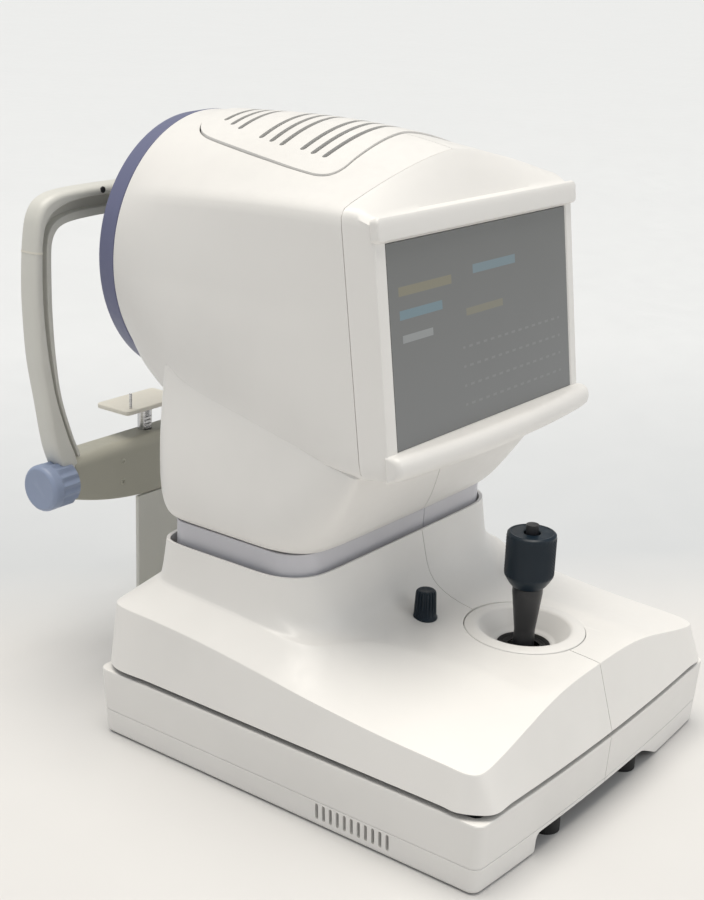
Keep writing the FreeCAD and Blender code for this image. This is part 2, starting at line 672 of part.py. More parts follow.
def arch():
    """Bulged frame that stands on the beam's ends and carries the forehead rest."""
    front, deep = size("rest_front") + 1, size("arch_depth")
    base, top = size("beam_top"), size("arch_top")
    def rim(foot, waist, shoulder, crown, turn):
        def point(x, z):
            return Vector(x, front, z)
        slant = turn * (1 - math.sqrt(0.5))
        bulge, belly, hip = (foot + waist) / 2 + 4, base + 62, base + 130
        return [Part.Arc(point(-foot, base), point(-bulge, belly), point(-waist, hip)),
                Part.LineSegment(point(-waist, hip), point(-shoulder, crown - turn)),
                Part.Arc(point(-shoulder, crown - turn), point(-shoulder + slant, crown - slant),
                         point(-shoulder + turn, crown)),
                Part.LineSegment(point(-shoulder + turn, crown), point(shoulder - turn, crown)),
                Part.Arc(point(shoulder - turn, crown), point(shoulder - slant, crown - slant),
                         point(shoulder, crown - turn)),
                Part.LineSegment(point(shoulder, crown - turn), point(waist, hip)),
                Part.Arc(point(waist, hip), point(bulge, belly), point(foot, base)),
                Part.LineSegment(point(foot, base), point(-foot, base))]

    def opening(*numbers):
        return Part.Face(Part.Wire([edge.toShape() for edge in rim(*numbers)]))
    outside = opening(111, 131, 130, top, 22)
    inside = opening(84, 110, 109, top - 23, 13)
    frame = outside.cut(inside).extrude(Vector(0, deep, 0))
    groove = opening(93, 122, 121, top - 7.5, 17).cut(opening(88, 115, 114, top - 16, 15))
    frame = frame.cut(groove.extrude(Vector(0, 9, 0)))
    shaped("headrest_arch", frame)
    band = slab(-140, 140, front - 0.5, front + deep + 0.5, 354, 356).cut(frame)
    outer_strip = slab(-131.4, 131.4, 0, 900, 350, 360).cut(slab(-123, 123, 0, 900, 350, 360))
    shaped("eye_level_marks", band.common(outer_strip))
    pad_back = front + deep + 14
    pad = slab(-62, 62, front + deep, pad_back, 363, 387)
    pad = pad.makeFillet(6, [edge for edge in pad.Edges if edge.BoundBox.YMin > pad_back - 1])
    shaped("forehead_pad", pad)
    screws = [rod("crown_screw", "2.4", "1.5", (x, "rest_front - 0.5", "384.6"), "y")
              for x in ("-60", "60")]
    piece("headrest_screws", group("headrest_screws", *screws))


def drive_tooth(half, root_y, tip_y, z):
    """A tooth of the chin drive, from its root to its tip along y."""
    root, tip = 1.1, 0.35
    corners = [Vector(-half, root_y, z - root), Vector(-half, root_y, z + root)]
    corners += [Vector(-half, tip_y, z + tip), Vector(-half, tip_y, z - tip)]
    return Part.Face(wire_between(corners)).extrude(Vector(2 * half, 0, 0))


def tray():
    x, y = "tray_width / 2", "tray_depth"
    floor = plate("chin_tray", rectangle(x, y), "4", ("0", "stem_y - 13.5", "tray_bottom"))
    piece("chin_tray", floor)
    pins = [rod("paper_pin", "1.2", "13", (pin_x, "stem_y - 8", "tray_bottom + 4"))
            for pin_x in ("-24", "24")]
    piece("paper_pins", group("paper_pins", *pins))
    radius, bottom, height = size("stem_radius"), 108.0, size("tray_bottom")
    y_axis = size("stem_y")
    stem = Part.makeCylinder(radius, height - bottom, Vector(0, y_axis, bottom))
    pitch_line = size("shaft_y") + size("pinion_radius")
    stem = stem.cut(slab(-10, 10, y_axis - 20, pitch_line + 0.9, bottom, height - 8))
    step = math.pi
    first = bottom + (size("knob_height") - bottom) % step
    teeth = []
    while first < height - 10:
        teeth.append(drive_tooth(3, pitch_line + 1.2, pitch_line - 0.6, first + step / 2))
        first += step
    stem = stem.fuse(teeth)
    shaped("chin_stem", largest(stem))


def chin_drive():
    """Knob, shaft and pinion that raise the chin tray."""
    outer, radius, height, y = size("knob_outer"), size("knob_radius"), size("knob_height"), size("shaft_y")
    start = Vector(outer, y, height)
    grip = Part.makeCylinder(radius, 28, start, Vector(1, 0, 0))
    grip = grip.makeFillet(2, [edge for edge in grip.Edges if edge.BoundBox.XLength < 1e-6])
    flutes = []
    count = 16
    for index in range(count):
        angle = 2 * math.pi * index / count
        spot = start + Vector(9, (radius + 1.4) * math.cos(angle), (radius + 1.4) * math.sin(angle))
        flutes.append(Part.makeCylinder(2.6, 30, spot, Vector(1, 0, 0)))
    bore = Part.makeCylinder(4.02, 15, start + Vector(13, 0, 0), Vector(1, 0, 0))
    shaped("chin_knob", largest(grip.cut(flutes + [bore])))
    piece("chin_shaft", rod("chin_shaft", "4", "125", ("knob_outer + 13.2", "shaft_y", "knob_height"), "x"))
    pinion_radius = size("pinion_radius")
    hub = Part.makeCylinder(pinion_radius - 1.1, 12, Vector(-6, y, height), Vector(1, 0, 0))
    teeth = []
    count = 11
    for index in range(count):
        solid = drive_tooth(6, y + pinion_radius - 1.6, y + pinion_radius + 0.6, height)
        solid.rotate(Vector(0, y, height), Vector(1, 0, 0), 360 * index / count)
        teeth.append(solid)
    bore = Part.makeCylinder(4.02, 30, Vector(-10, y, height), Vector(1, 0, 0))
    shaped("chin_pinion", hub.fuse(teeth).cut(bore))


def check_all():
    """Stop before writing if anything failed to build."""
    for thing in doc.Objects:
        bad = [word for word in thing.State if word in ("Invalid", "Error")]
        if bad:
            raise RuntimeError(f"{thing.Label} failed: {bad}")
    for thing in pieces:
        if thing.Shape.isNull() or not thing.Shape.isValid():
            raise RuntimeError(f"{thing.Label} has no valid shape")


def write_all():
    os.makedirs("parts", exist_ok=True)
    for thing in pieces:
        thing.Shape.exportStep(f"parts/{thing.Label}.step")


lower_shells()
base_frame()
base_electrics()
fixed_rails()
y_carriage()
x_carriage()
lift_drive()
upper_cover()
joystick_well()
joystick()
dial()
bezel()
barrel()
neck()
patient_end()
head_inside()
chin_rest()
doc.recompute()
check_all()
write_all()
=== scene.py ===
import bpy
import bmesh
import json
import math
from mathutils import Matrix, Vector


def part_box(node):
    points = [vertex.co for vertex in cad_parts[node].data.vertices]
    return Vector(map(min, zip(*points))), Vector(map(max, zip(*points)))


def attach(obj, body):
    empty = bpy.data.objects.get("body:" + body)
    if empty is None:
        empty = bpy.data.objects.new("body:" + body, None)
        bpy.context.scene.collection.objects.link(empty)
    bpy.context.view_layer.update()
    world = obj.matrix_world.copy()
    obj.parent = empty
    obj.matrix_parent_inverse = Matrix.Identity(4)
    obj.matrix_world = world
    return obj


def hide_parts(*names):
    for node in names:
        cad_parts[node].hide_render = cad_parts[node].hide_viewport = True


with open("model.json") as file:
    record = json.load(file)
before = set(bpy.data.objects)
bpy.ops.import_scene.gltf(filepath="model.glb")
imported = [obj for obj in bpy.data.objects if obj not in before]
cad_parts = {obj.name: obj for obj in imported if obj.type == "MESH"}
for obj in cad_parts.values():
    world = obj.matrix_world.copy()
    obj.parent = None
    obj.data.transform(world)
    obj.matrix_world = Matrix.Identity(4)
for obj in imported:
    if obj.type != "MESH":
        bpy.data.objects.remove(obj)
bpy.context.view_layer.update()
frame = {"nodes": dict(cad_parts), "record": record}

# Bench coordinates are millimetres, with y measured from the base's front corners.
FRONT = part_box("base_plate")[0][1] * 1000 - 10.0


def metres(point):
    return Vector((point[0], point[1] + FRONT, point[2])) / 1000


def node_box(node):
    """Lowest and highest of a CAD node along x, y and z, in bench millimetres."""
    low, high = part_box(node)
    return [(a * 1000 - shift, b * 1000 - shift) for a, b, shift in zip(low, high, (0.0, FRONT, 0.0))]


# ---------------------------------------------------------------- mesh helpers

def placed(name, data):
    """A new object in the scene."""
    obj = bpy.data.objects.new(name, data)
    bpy.context.scene.collection.objects.link(obj)
    return obj


def mesh_object(name, points, faces):
    mesh = bpy.data.meshes.new(name)
    mesh.from_pydata([metres(p) for p in points], [], faces)
    mesh.validate()
    return placed(name, mesh)


def recalculated(obj):
    bm = bmesh.new()
    bm.from_mesh(obj.data)
    bmesh.ops.remove_doubles(bm, verts=bm.verts, dist=1e-6)
    bmesh.ops.recalc_face_normals(bm, faces=bm.faces)
    bm.to_mesh(obj.data)
    bm.free()
    return obj


def loft(name, loops, creases=None, cap_first=False, cap_last=False):
    """Skin closed loops of equal length, one after another."""
    count = len(loops[0])
    points = [p for loop in loops for p in loop]
    faces = []
    for row in range(len(loops) - 1):
        for k in range(count):
            near, far = row * count, (row + 1) * count
            faces.append((near + k, near + (k + 1) % count, far + (k + 1) % count, far + k))
    if cap_first:
        faces.append(tuple(range(count))[::-1])
    if cap_last:
        faces.append(tuple(range((len(loops) - 1) * count, len(loops) * count)))
    obj = mesh_object(name, points, faces)
    if creases:
        bm = bmesh.new()
        bm.from_mesh(obj.data)
        bm.verts.ensure_lookup_table()
        layer = bm.edges.layers.float.get("crease_edge") or bm.edges.layers.float.new("crease_edge")
        for row, weight in creases.items():
            for k in range(count):
                a = bm.verts[row * count + k]
                b = bm.verts[row * count + (k + 1) % count]
                edge = bm.edges.get((a, b))
                edge[layer] = weight(k) if callable(weight) else weight
        bm.to_mesh(obj.data)
        bm.free()
    return recalculated(obj)


def applied(obj, kind, **settings):
    """Add a modifier and keep its result as the mesh."""
    modifier = obj.modifiers.new(kind, kind)
    for key, value in settings.items():
        setattr(modifier, key, value)
    graph = bpy.context.evaluated_depsgraph_get()
    mesh = bpy.data.meshes.new_from_object(obj.evaluated_get(graph))
    obj.modifiers.clear()
    obj.data = mesh
    return obj


def subdivided(obj, levels):
    return applied(obj, "SUBSURF", levels=levels, render_levels=levels)


def thickened(obj, mm):
    return applied(obj, "SOLIDIFY", thickness=mm / 1000, offset=-1)


def rounded(obj, mm, segments=2, degrees=40):
    return applied(obj, "BEVEL", width=mm / 1000, segments=segments, limit_method="ANGLE",
                   angle_limit=math.radians(degrees), use_clamp_overlap=True, harden_normals=False)


def boolean(obj, tool, operation="DIFFERENCE"):
    tool = recalculated(tool)
    applied(obj, "BOOLEAN", object=tool, operation=operation, solver="EXACT")
    bpy.data.objects.remove(tool)
    return obj


def joined(*objects):
    """One object from several meshes."""
    bm = bmesh.new()
    for obj in objects:
        bm.from_mesh(obj.data)
    first = objects[0]
    bm.to_mesh(first.data)
    bm.free()
    for obj in objects[1:]:
        bpy.data.objects.remove(obj)
    return first


def half(obj, name, point, normal, gap, fill):
    """The part of an object on the far side of a plane, moved back by a gap."""
    bm = bmesh.new()
    bm.from_mesh(obj.data)
    direction = Vector(normal).normalized()
    place = metres(point) + direction * gap / 1000
    bmesh.ops.bisect_plane(bm, geom=bm.verts[:] + bm.edges[:] + bm.faces[:], plane_co=place,
                           plane_no=direction, clear_inner=True, dist=1e-7)
    if fill:
        rim = [edge for edge in bm.edges if edge.is_boundary]
        bmesh.ops.holes_fill(bm, edges=rim, sides=0)
        bmesh.ops.recalc_face_normals(bm, faces=bm.faces)
    mesh = bpy.data.meshes.new(name)
    bm.to_mesh(mesh)
    bm.free()
    return placed(name, mesh)


def about(axis, a, b, along):
    """The (x, y, z) of a point at (a, b) across an axis and at a place along it."""
    return {"z": (a, b, along), "y": (a, along, b), "x": (along, a, b)}[axis]


def prism(outline, low, high, axis="z"):
    """A straight tool solid along an axis, over an outline in the other two coordinates."""
    loops = [[about(axis, a, b, along) for a, b in outline] for along in (low, high)]
    return loft("tool", loops, cap_first=True, cap_last=True)


def slot_outline(middle, half_wide, half_high, steps=6):
    """A slot with round ends, wider than high."""
    points = []
    for side, start in ((1, 0.5), (-1, 1.5)):
        for k in range(steps + 1):
            angle = math.pi * start - math.pi * k / steps
            points.append((middle[0] + side * (half_wide - half_high) + half_high * math.cos(angle),
                           middle[1] + half_high * math.sin(angle)))
    return points


def circle(middle, radius, steps=48):
    return [(middle[0] + radius * math.cos(math.tau * k / steps),
             middle[1] + radius * math.sin(math.tau * k / steps)) for k in range(steps)]


def lathe(name, profile, middle, axis="z", steps=96, shape=None):
    """Turn a closed row of (radius, along) points about an axis; shape adds to a point's radius."""
    loops = []
    for row, (radius, along) in enumerate(profile + profile[:1]):
        loop = []
        for k in range(steps):
            angle = math.tau * k / steps
            r = radius + (shape(row, k) if shape else 0.0)
            offset = about(axis, r * math.cos(angle), r * math.sin(angle), along)
            loop.append(tuple(m + o for m, o in zip(middle, offset)))
        loops.append(loop)
    return loft(name, loops)


def corner_arc(middle, radius, start, end, steps):
    """Points of an arc, in degrees."""
    result = []
    for k in range(steps + 1):
        angle = math.radians(start + (end - start) * k / steps)
        result.append((middle[0] + radius * math.cos(angle), middle[1] + radius * math.sin(angle)))
    return result


def mirrored(points):
    """Close a half outline that runs from the front middle by the left side to the back middle."""
    return points + [(-x, *rest) for x, *rest in points[-2:0:-1]]


def between(values, at):
    """Straight-line interpolation in a list of (position, value)."""
    if at <= values[0][0]:
        return values[0][1]
    for (a, va), (b, vb) in zip(values, values[1:]):
        if at <= b:
            share = (at - a) / (b - a)
            return va + (vb - va) * share
    return values[-1][1]


def curve_point(a, b, c, d, t):
    """A point at share t between b and c, on a smooth curve that a and d steer."""
    return 0.5 * (2 * b + (c - a) * t + (2 * a - 5 * b + 4 * c - d) * t * t + (3 * b - a - 3 * c + d) * t ** 3)


def smooth_loop(points, times=4):
    """A closed loop with more points, on a smooth curve through the given ones."""
    count, result = len(points), []
    for k in range(count):
        near = [Vector(points[(k + j) % count]) for j in (-1, 0, 1, 2)]
        result += [tuple(curve_point(*near, step / times)) for step in range(times)]
    return result


def smooth_path(points, times):
    """An open row of points with more points between them, on a smooth curve."""
    last, result = len(points) - 1, []
    for k in range(last):
        near = [Vector(points[min(last, max(0, k + j))]) for j in (-1, 0, 1, 2)]
        result += [curve_point(*near, step / times) for step in range(times)]
    return result + [Vector(points[-1])]


def shares(first, second, share):
    """Points at a share of the way from one row of points to another."""
    return [tuple(a + (b - a) * share for a, b in zip(p, q)) for p, q in zip(first, second)]


# ---------------------------------------------------------------- materials

class Nodes:
    """A material's node tree with short calls."""

    def __init__(self, name):
        self.material = bpy.data.materials.new(name)
        self.material.use_nodes = True
        self.tree = self.material.node_tree
        self.shader = self.tree.nodes["Principled BSDF"]
        self.where = self.add("ShaderNodeTexCoord").outputs["Object"]

    def put(self, node, inputs):
        """Give each input a number, a colour, a vector or another node's output."""
        for key, value in inputs.items():
            socket = node.inputs[key]
            if isinstance(value, bpy.types.NodeSocket):
                self.tree.links.new(value, socket)
            elif value is not None:
                socket.default_value = (*value, 1.0) if socket.type == "RGBA" else value

    def add(self, kind, inputs=None, **settings):
        node = self.tree.nodes.new(kind)
        for key, value in settings.items():
            setattr(node, key, value)
        self.put(node, inputs or {})
        return node

    def place(self):
        """The x, y and z of a place on the object, in metres."""
        return self.add("ShaderNodeSeparateXYZ", {0: self.where}).outputs

    def noise(self, scale, detail=3.0, roughness=0.5, where=None):
        return self.add("ShaderNodeTexNoise", {"Scale": scale, "Detail": detail, "Roughness": roughness,
                                               "Vector": where or self.where}).outputs["Fac"]

    def ramp(self, value, stops):
        node = self.add("ShaderNodeValToRGB", {"Fac": value})
        ramp = node.color_ramp
        while len(ramp.elements) < len(stops):
            ramp.elements.new(0.5)
        for element, (place, colour) in zip(ramp.elements, stops):
            element.position = place
            element.color = (*colour, 1.0) if not isinstance(colour, float) else (colour,) * 3 + (1.0,)
        return node.outputs["Color"]

    def mix(self, share, first, second, blend="MIX"):
        return self.add("ShaderNodeMix", {0: share, 6: first, 7: second}, data_type="RGBA",
                        blend_type=blend).outputs[2]

    def math(self, operation, first, second=0.0):
        return self.add("ShaderNodeMath", {0: first, 1: second}, operation=operation).outputs[0]

    def bump(self, height, strength, distance, normal=None):
        return self.add("ShaderNodeBump", {"Strength": strength, "Distance": distance, "Height": height,
                                           "Normal": normal}).outputs["Normal"]

    def soft_edges(self, radius):
        return self.add("ShaderNodeBevel", {"Radius": radius}, samples=4).outputs["Normal"]


def finish_material(nodes, colour, roughness, normal=None, metallic=0.0, specular=0.5, coat=0.0):
    nodes.put(nodes.shader, {"Base Color": colour, "Roughness": roughness, "Normal": normal,
                             "Metallic": metallic, "Specular IOR Level": specular, "Coat Weight": coat})
    return nodes.material


def plastic(name, colour, roughness=0.38, grain=0.00003, edge_wear_and_highlight=0.06, edges=0.0, specular=0.5):
    """Moulded plastic: fine spark-eroded grain, faint clouding, lighter edges that are partly wear and partly
    painted highlight, and dull spots.
    """
    nodes, variation, grain_scale = Nodes(name), 0.04, 2600
    dark = tuple(c * (1 - variation) for c in colour)
    light = tuple(min(1.0, c * (1 + variation * 0.6)) for c in colour)
    cloud = nodes.ramp(nodes.noise(9.0, 4.0), [(0.3, dark), (0.5, colour), (0.75, light)])
    # Convex edges are lightened: partly wear, partly painted highlight.
    edge_wear_and_highlight_mask = nodes.ramp(nodes.add("ShaderNodeNewGeometry").outputs["Pointiness"],
                      [(0.53, 0.0), (0.62, 1.0)])
    pale = tuple(min(1.0, c + edge_wear_and_highlight) for c in colour)
    shade = nodes.mix(nodes.math("MULTIPLY", edge_wear_and_highlight_mask, 0.5), cloud, pale)
    specks = nodes.ramp(nodes.noise(140.0, 2.0), [(0.35, roughness - 0.05), (0.7, roughness + 0.07)])
    fine = nodes.noise(grain_scale, 2.0, 0.6)
    base = nodes.soft_edges(edges) if edges else None
    normal = nodes.bump(fine, 0.6, grain, base)
    return finish_material(nodes, shade, specks, normal, specular=specular)


def metal(name, colour, roughness=0.3, brushed=(1, 1, 40), edges=0.0003, scale=60.0):
    """Machined metal with fine lines along one direction."""
    nodes = Nodes(name)
    mapping = nodes.add("ShaderNodeMapping", {"Scale": brushed, "Vector": nodes.where})
    lines = nodes.noise(scale, 4.0, 0.6, mapping.outputs["Vector"])
    shade = nodes.ramp(lines, [(0.3, tuple(c * 0.86 for c in colour)), (0.7, colour)])
    rough = nodes.ramp(lines, [(0.2, roughness - 0.08), (0.8, roughness + 0.1)])
    normal = nodes.bump(lines, 0.3, 0.00002, nodes.soft_edges(edges))
    return finish_material(nodes, shade, rough, normal, metallic=1.0)


def rubber(name, colour, roughness=0.75):
    nodes = Nodes(name)
    shade = nodes.ramp(nodes.noise(35.0, 5.0), [(0.3, tuple(c * 0.8 for c in colour)), (0.7, colour)])
    rough = nodes.ramp(nodes.noise(90.0), [(0.3, roughness - 0.08), (0.7, roughness + 0.1)])
    return finish_material(nodes, shade, rough, nodes.bump(nodes.noise(1500.0, 3.0), 0.7, 0.00006))


def screen_material():
    """A dim grey display behind a satin anti-glare cover."""
    nodes = Nodes("display_cover")
    x, _, z = nodes.place()
    rise = nodes.add("ShaderNodeMapRange", {"From Min": 0.26, "From Max": 0.395, "Value": z})
    tone = nodes.ramp(rise.outputs["Result"], [(0.0, (0.20, 0.206, 0.21)), (1.0, (0.175, 0.18, 0.178))])
    dash_height, dashes_per_metre = 0.0017, 110.0
    # Plain bars and rows of dashes: left, right, low and high in metres, and a colour.
    blocks = [(-0.100, -0.040, 0.359, 0.365, (0.29, 0.265, 0.17)),
              (-0.014, 0.040, 0.362, 0.368, (0.21, 0.32, 0.38)),
              (-0.100, -0.052, 0.344, 0.350, (0.18, 0.31, 0.38)),
              (-0.024, 0.022, 0.335, 0.340, (0.27, 0.255, 0.18)),
              (-0.098, -0.064, 0.329, 0.334, (0.38, 0.40, 0.41))]
    blocks += [(-0.030, 0.098, low, low + dash_height, (0.265, 0.272, 0.275))
               for low in (0.2745, 0.2875, 0.3005, 0.3135)]
    spacing = nodes.math("FRACT", nodes.math("MULTIPLY", x, dashes_per_metre))
    dashes = nodes.math("GREATER_THAN", spacing, 0.5)
    for left, right, low, high, colour in blocks:
        inside, level = (nodes.math("MULTIPLY", nodes.math("GREATER_THAN", at, start),
                                    nodes.math("LESS_THAN", at, end))
                         for at, start, end in ((x, left, right), (z, low, high)))
        cover = nodes.math("MULTIPLY", inside, level)
        if high - low < dash_height * 1.1:
            cover = nodes.math("MULTIPLY", cover, dashes)
        tone = nodes.mix(nodes.math("MULTIPLY", cover, 0.6), tone, colour)
    smudge = nodes.ramp(nodes.noise(14.0, 5.0), [(0.35, 0.30), (0.7, 0.40)])
    normal = nodes.bump(nodes.noise(5200.0, 2.0), 0.5, 0.00001)
    return finish_material(nodes, tone, smudge, normal)


def ring_pattern_material(middle_height):
    """White cone with evenly spaced dark rings about the measuring axis."""
    nodes = Nodes("cone_rings")
    x, _, z = nodes.place()
    height = nodes.math("SUBTRACT", z, middle_height)
    square = nodes.math("ADD", nodes.math("MULTIPLY", x, x), nodes.math("MULTIPLY", height, height))
    ring_pitch = 0.0052
    wave = nodes.math("SINE", nodes.math("MULTIPLY", nodes.math("SQRT", square), math.tau / ring_pitch))
    shade = nodes.ramp(wave, [(0.0, (0.02, 0.02, 0.022)), (0.45, (0.02, 0.02, 0.022)), (0.55, (0.82, 0.82, 0.80))])
    rough = nodes.ramp(nodes.noise(60.0), [(0.3, 0.25), (0.7, 0.38)])
    return finish_material(nodes, shade, rough, nodes.bump(nodes.noise(900.0), 0.3, 0.00002))


def glass_material():
    nodes = Nodes("coated_lens")
    tint = nodes.ramp(nodes.noise(20.0), [(0.3, (0.55, 0.62, 0.75)), (0.7, (0.70, 0.75, 0.85))])
    rough = nodes.ramp(nodes.noise(200.0), [(0.3, 0.02), (0.8, 0.05)])
    nodes.put(nodes.shader, {"Transmission Weight": 1.0, "IOR": 1.5})
    return finish_material(nodes, tint, rough, nodes.bump(nodes.noise(2000.0), 0.1, 0.000002), coat=0.6)


def board_material():
    nodes = Nodes("circuit_board")
    tracks = nodes.add("ShaderNodeTexBrick", {"Scale": 140.0, "Mortar Size": 0.06, "Vector": nodes.where})
    shade = nodes.mix(tracks.outputs["Fac"], (0.02, 0.12, 0.05), (0.05, 0.22, 0.10))
    rough = nodes.ramp(nodes.noise(80.0), [(0.3, 0.4), (0.7, 0.55)])
    return finish_material(nodes, shade, rough, nodes.bump(tracks.outputs["Fac"], 0.4, 0.00005))


LOOKS = {
    "ivory_plastic": plastic("ivory_moulding", (0.815, 0.80, 0.775)),
    "collar_grey": plastic("collar_moulding", (0.60, 0.595, 0.63), 0.42),
    "chinrest_grey": plastic("chinrest_paint", (0.66, 0.655, 0.61), 0.40, 0.00002, edges=0.0008),
    # A darker copy of the chinrest grey: painted shade of the head's shadow on the beam.
    "painted_shade_grey": plastic("painted_shade_grey", (0.43, 0.42, 0.355), 0.40, 0.00002, edges=0.0008),
    "tray_white": plastic("tray_moulding", (0.74, 0.71, 0.63), 0.4, edges=0.0008),
    # The ring's edges are lightened more, as a painted highlight along its front edge.
    "ring_blue": plastic("ring_moulding", (0.14, 0.15, 0.255), 0.42, edge_wear_and_highlight=0.08, edges=0.0004),
    "knob_blue": plastic("knob_moulding", (0.28, 0.335, 0.47), 0.42, edges=0.0004),
    "black_plastic": plastic("black_moulding", (0.012, 0.013, 0.016), 0.36, edge_wear_and_highlight=0.02, edges=0.0003),
    "grip_black": plastic("grip_moulding", (0.004, 0.013, 0.023), 0.34, edge_wear_and_highlight=0.03, specular=0.32),
    "black_rubber": rubber("foot_rubber", (0.02, 0.02, 0.02)),
    "soft_pad": rubber("pad_silicone", (0.62, 0.60, 0.54), 0.55),
    "display_glass": screen_material(),
    "display_dark": plastic("display_frame", (0.02, 0.02, 0.022), 0.5),
    "cone_white": ring_pattern_material(sum(node_box("ring_pattern_cone")[2]) / 2000),
    "lens_glass": glass_material(),
    "plate_steel": metal("zinc_plate", (0.42, 0.43, 0.44), 0.42, (1, 1, 1), scale=25.0),
    "stage_metal": metal("milled_metal", (0.62, 0.63, 0.64), 0.34, (30, 1, 1)),
    "bright_steel": metal("ground_steel", (0.66, 0.66, 0.67), 0.24),
    "nut_brass": metal("turned_brass", (0.62, 0.44, 0.18), 0.28),
    "board_green": board_material(),
}
SLOTS = {row["node"]: row["material_slot"] for row in frame["record"]["subparts"]}
BODY_OF = {node: body for body, nodes in frame["record"]["behaviour"]["bodies"].items() for node in nodes}
for node, obj in frame["nodes"].items():
    for index in range(max(1, len(obj.data.materials))):
        if len(obj.data.materials) <= index:
            obj.data.materials.append(None)
        obj.data.materials[index] = LOOKS[SLOTS[node]]


def extra(obj, node, look=None, slot=None, smooth=35):
    """Finish a piece that rides with a CAD node's body: material, shading and body."""
    obj.data.materials.clear()
    obj.data.materials.append(LOOKS[look or SLOTS[node]])
    obj.data.shade_smooth()
    obj.data.set_sharp_from_angle(angle=math.radians(smooth))
    obj.modifiers.new("weighted", "WEIGHTED_NORMAL").keep_sharp = True
    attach(obj, BODY_OF[node])
    slot or SLOTS[node]


def kept(obj, node, look=None, smooth=35):
    """Finish a piece that stands for a CAD node."""
    extra(obj, node, look, smooth=smooth)
    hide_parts(node)


def halves(shell, name, node, point, normal, gap, soften, fill=False):
    """Cut a shell at its parting; the caller works on each half, which is then rounded and kept."""
    for side_name, sign in (("left", -1), ("right", 1)):
        side = half(shell, f"{name}_{side_name}", point, sign * Vector(normal), gap, fill)
        yield side, sign
        rounded(side, soften, 2, 50)
        kept(side, f"{node}_{side_name}")
    bpy.data.objects.remove(shell)


# ---------------------------------------------------------------- camera and light

FOCAL_LENGTH = 1540.1    # in pixels of a picture 900 high
EYE = (-880.8, -423.8, 572.4)


def add_camera():
    rows = [(0.60576817, -0.79474067, 0.03784433), (-0.22866907, -0.2194599, -0.94844494),
            (0.76207308, 0.56588393, -0.31467443)]
    right, down, ahead = (Vector(row) for row in rows)
    turn = Matrix((right, -down, -ahead)).transposed().to_4x4()
    data = bpy.data.cameras.new("camera")
    data.sensor_fit = "VERTICAL"
    data.sensor_height = 36.0
    data.lens = data.sensor_height * FOCAL_LENGTH / 900
    camera = placed("camera", data)
    camera.matrix_world = Matrix.Translation(metres(EYE)) @ turn
    bpy.context.scene.camera = camera


def add_sun(name, direction, strength, spread, colour=(1, 1, 1)):
    data = bpy.data.lights.new(name, "SUN")
    data.energy, data.angle, data.color = strength, math.radians(spread), colour
    placed(name, data).rotation_euler = Vector(direction).to_track_quat("-Z", "Y").to_euler()


def add_stage():
    size = 60.0
    floor = bpy.data.meshes.new("floor")
    floor.from_pydata([(-size, -size, 0), (size, -size, 0), (size, size, 0), (-size, size, 0)], [], [(0, 1, 2, 3)])
    nodes = Nodes("pale_floor")
    x, y, _ = nodes.place()
    away = nodes.math("ADD", nodes.math("MULTIPLY", y, 0.66), nodes.math("MULTIPLY", x, 0.62))
    shade = nodes.ramp(away, [(0.10, (0.655, 0.648, 0.64)), (0.26, (0.555, 0.572, 0.59)),
                              (1.1, (0.685, 0.70, 0.715))])
    cloud = nodes.mix(0.03, shade, nodes.ramp(nodes.noise(3.0), [(0.3, 0.6), (0.7, 1.0)]), "MULTIPLY")
    rough = nodes.ramp(nodes.noise(20.0), [(0.3, 0.5), (0.7, 0.62)])
    floor.materials.append(finish_material(nodes, cloud, rough))
    obj = placed("floor", floor)


def add_light():
    """Soft cool light from all round, with a paler sky behind the floor, and two broad lamps."""
    world = bpy.data.worlds.new("studio")
    world.use_nodes = True
    tree = world.node_tree
    around = tree.nodes["Background"]
    around.inputs["Color"].default_value = (0.92, 0.96, 1.0, 1.0)
    around.inputs["Strength"].default_value = 0.43
    seen = tree.nodes.new("ShaderNodeBackground")
    seen.inputs["Color"].default_value = (0.88, 0.90, 0.91, 1.0)
    path = tree.nodes.new("ShaderNodeLightPath")
    mixed = tree.nodes.new("ShaderNodeMixShader")
    tree.links.new(path.outputs["Is Camera Ray"], mixed.inputs[0])
    tree.links.new(around.outputs[0], mixed.inputs[1])
    tree.links.new(seen.outputs[0], mixed.inputs[2])
    tree.links.new(mixed.outputs[0], tree.nodes["World Output"].inputs["Surface"])
    bpy.context.scene.world = world
    add_sun("top_light", (0.04, -0.06, -1.0), 2.80, 46, (1, 0.95, 0.87))
    add_sun("front_light", (-0.25, 0.9, -0.5), 0.36, 50, (1, 0.99, 0.97))
    bpy.context.scene.view_settings.view_transform = "Standard"


add_camera()
add_stage()
add_light()

# ---------------------------------------------------------------- upper cover

COVER_BOTTOM = 57.5
STICK = (14.0, 79.0, 0.0)
PARTING, PARTING_NORMAL = (0.6, 10, 0), (0.994, -0.11, 0)
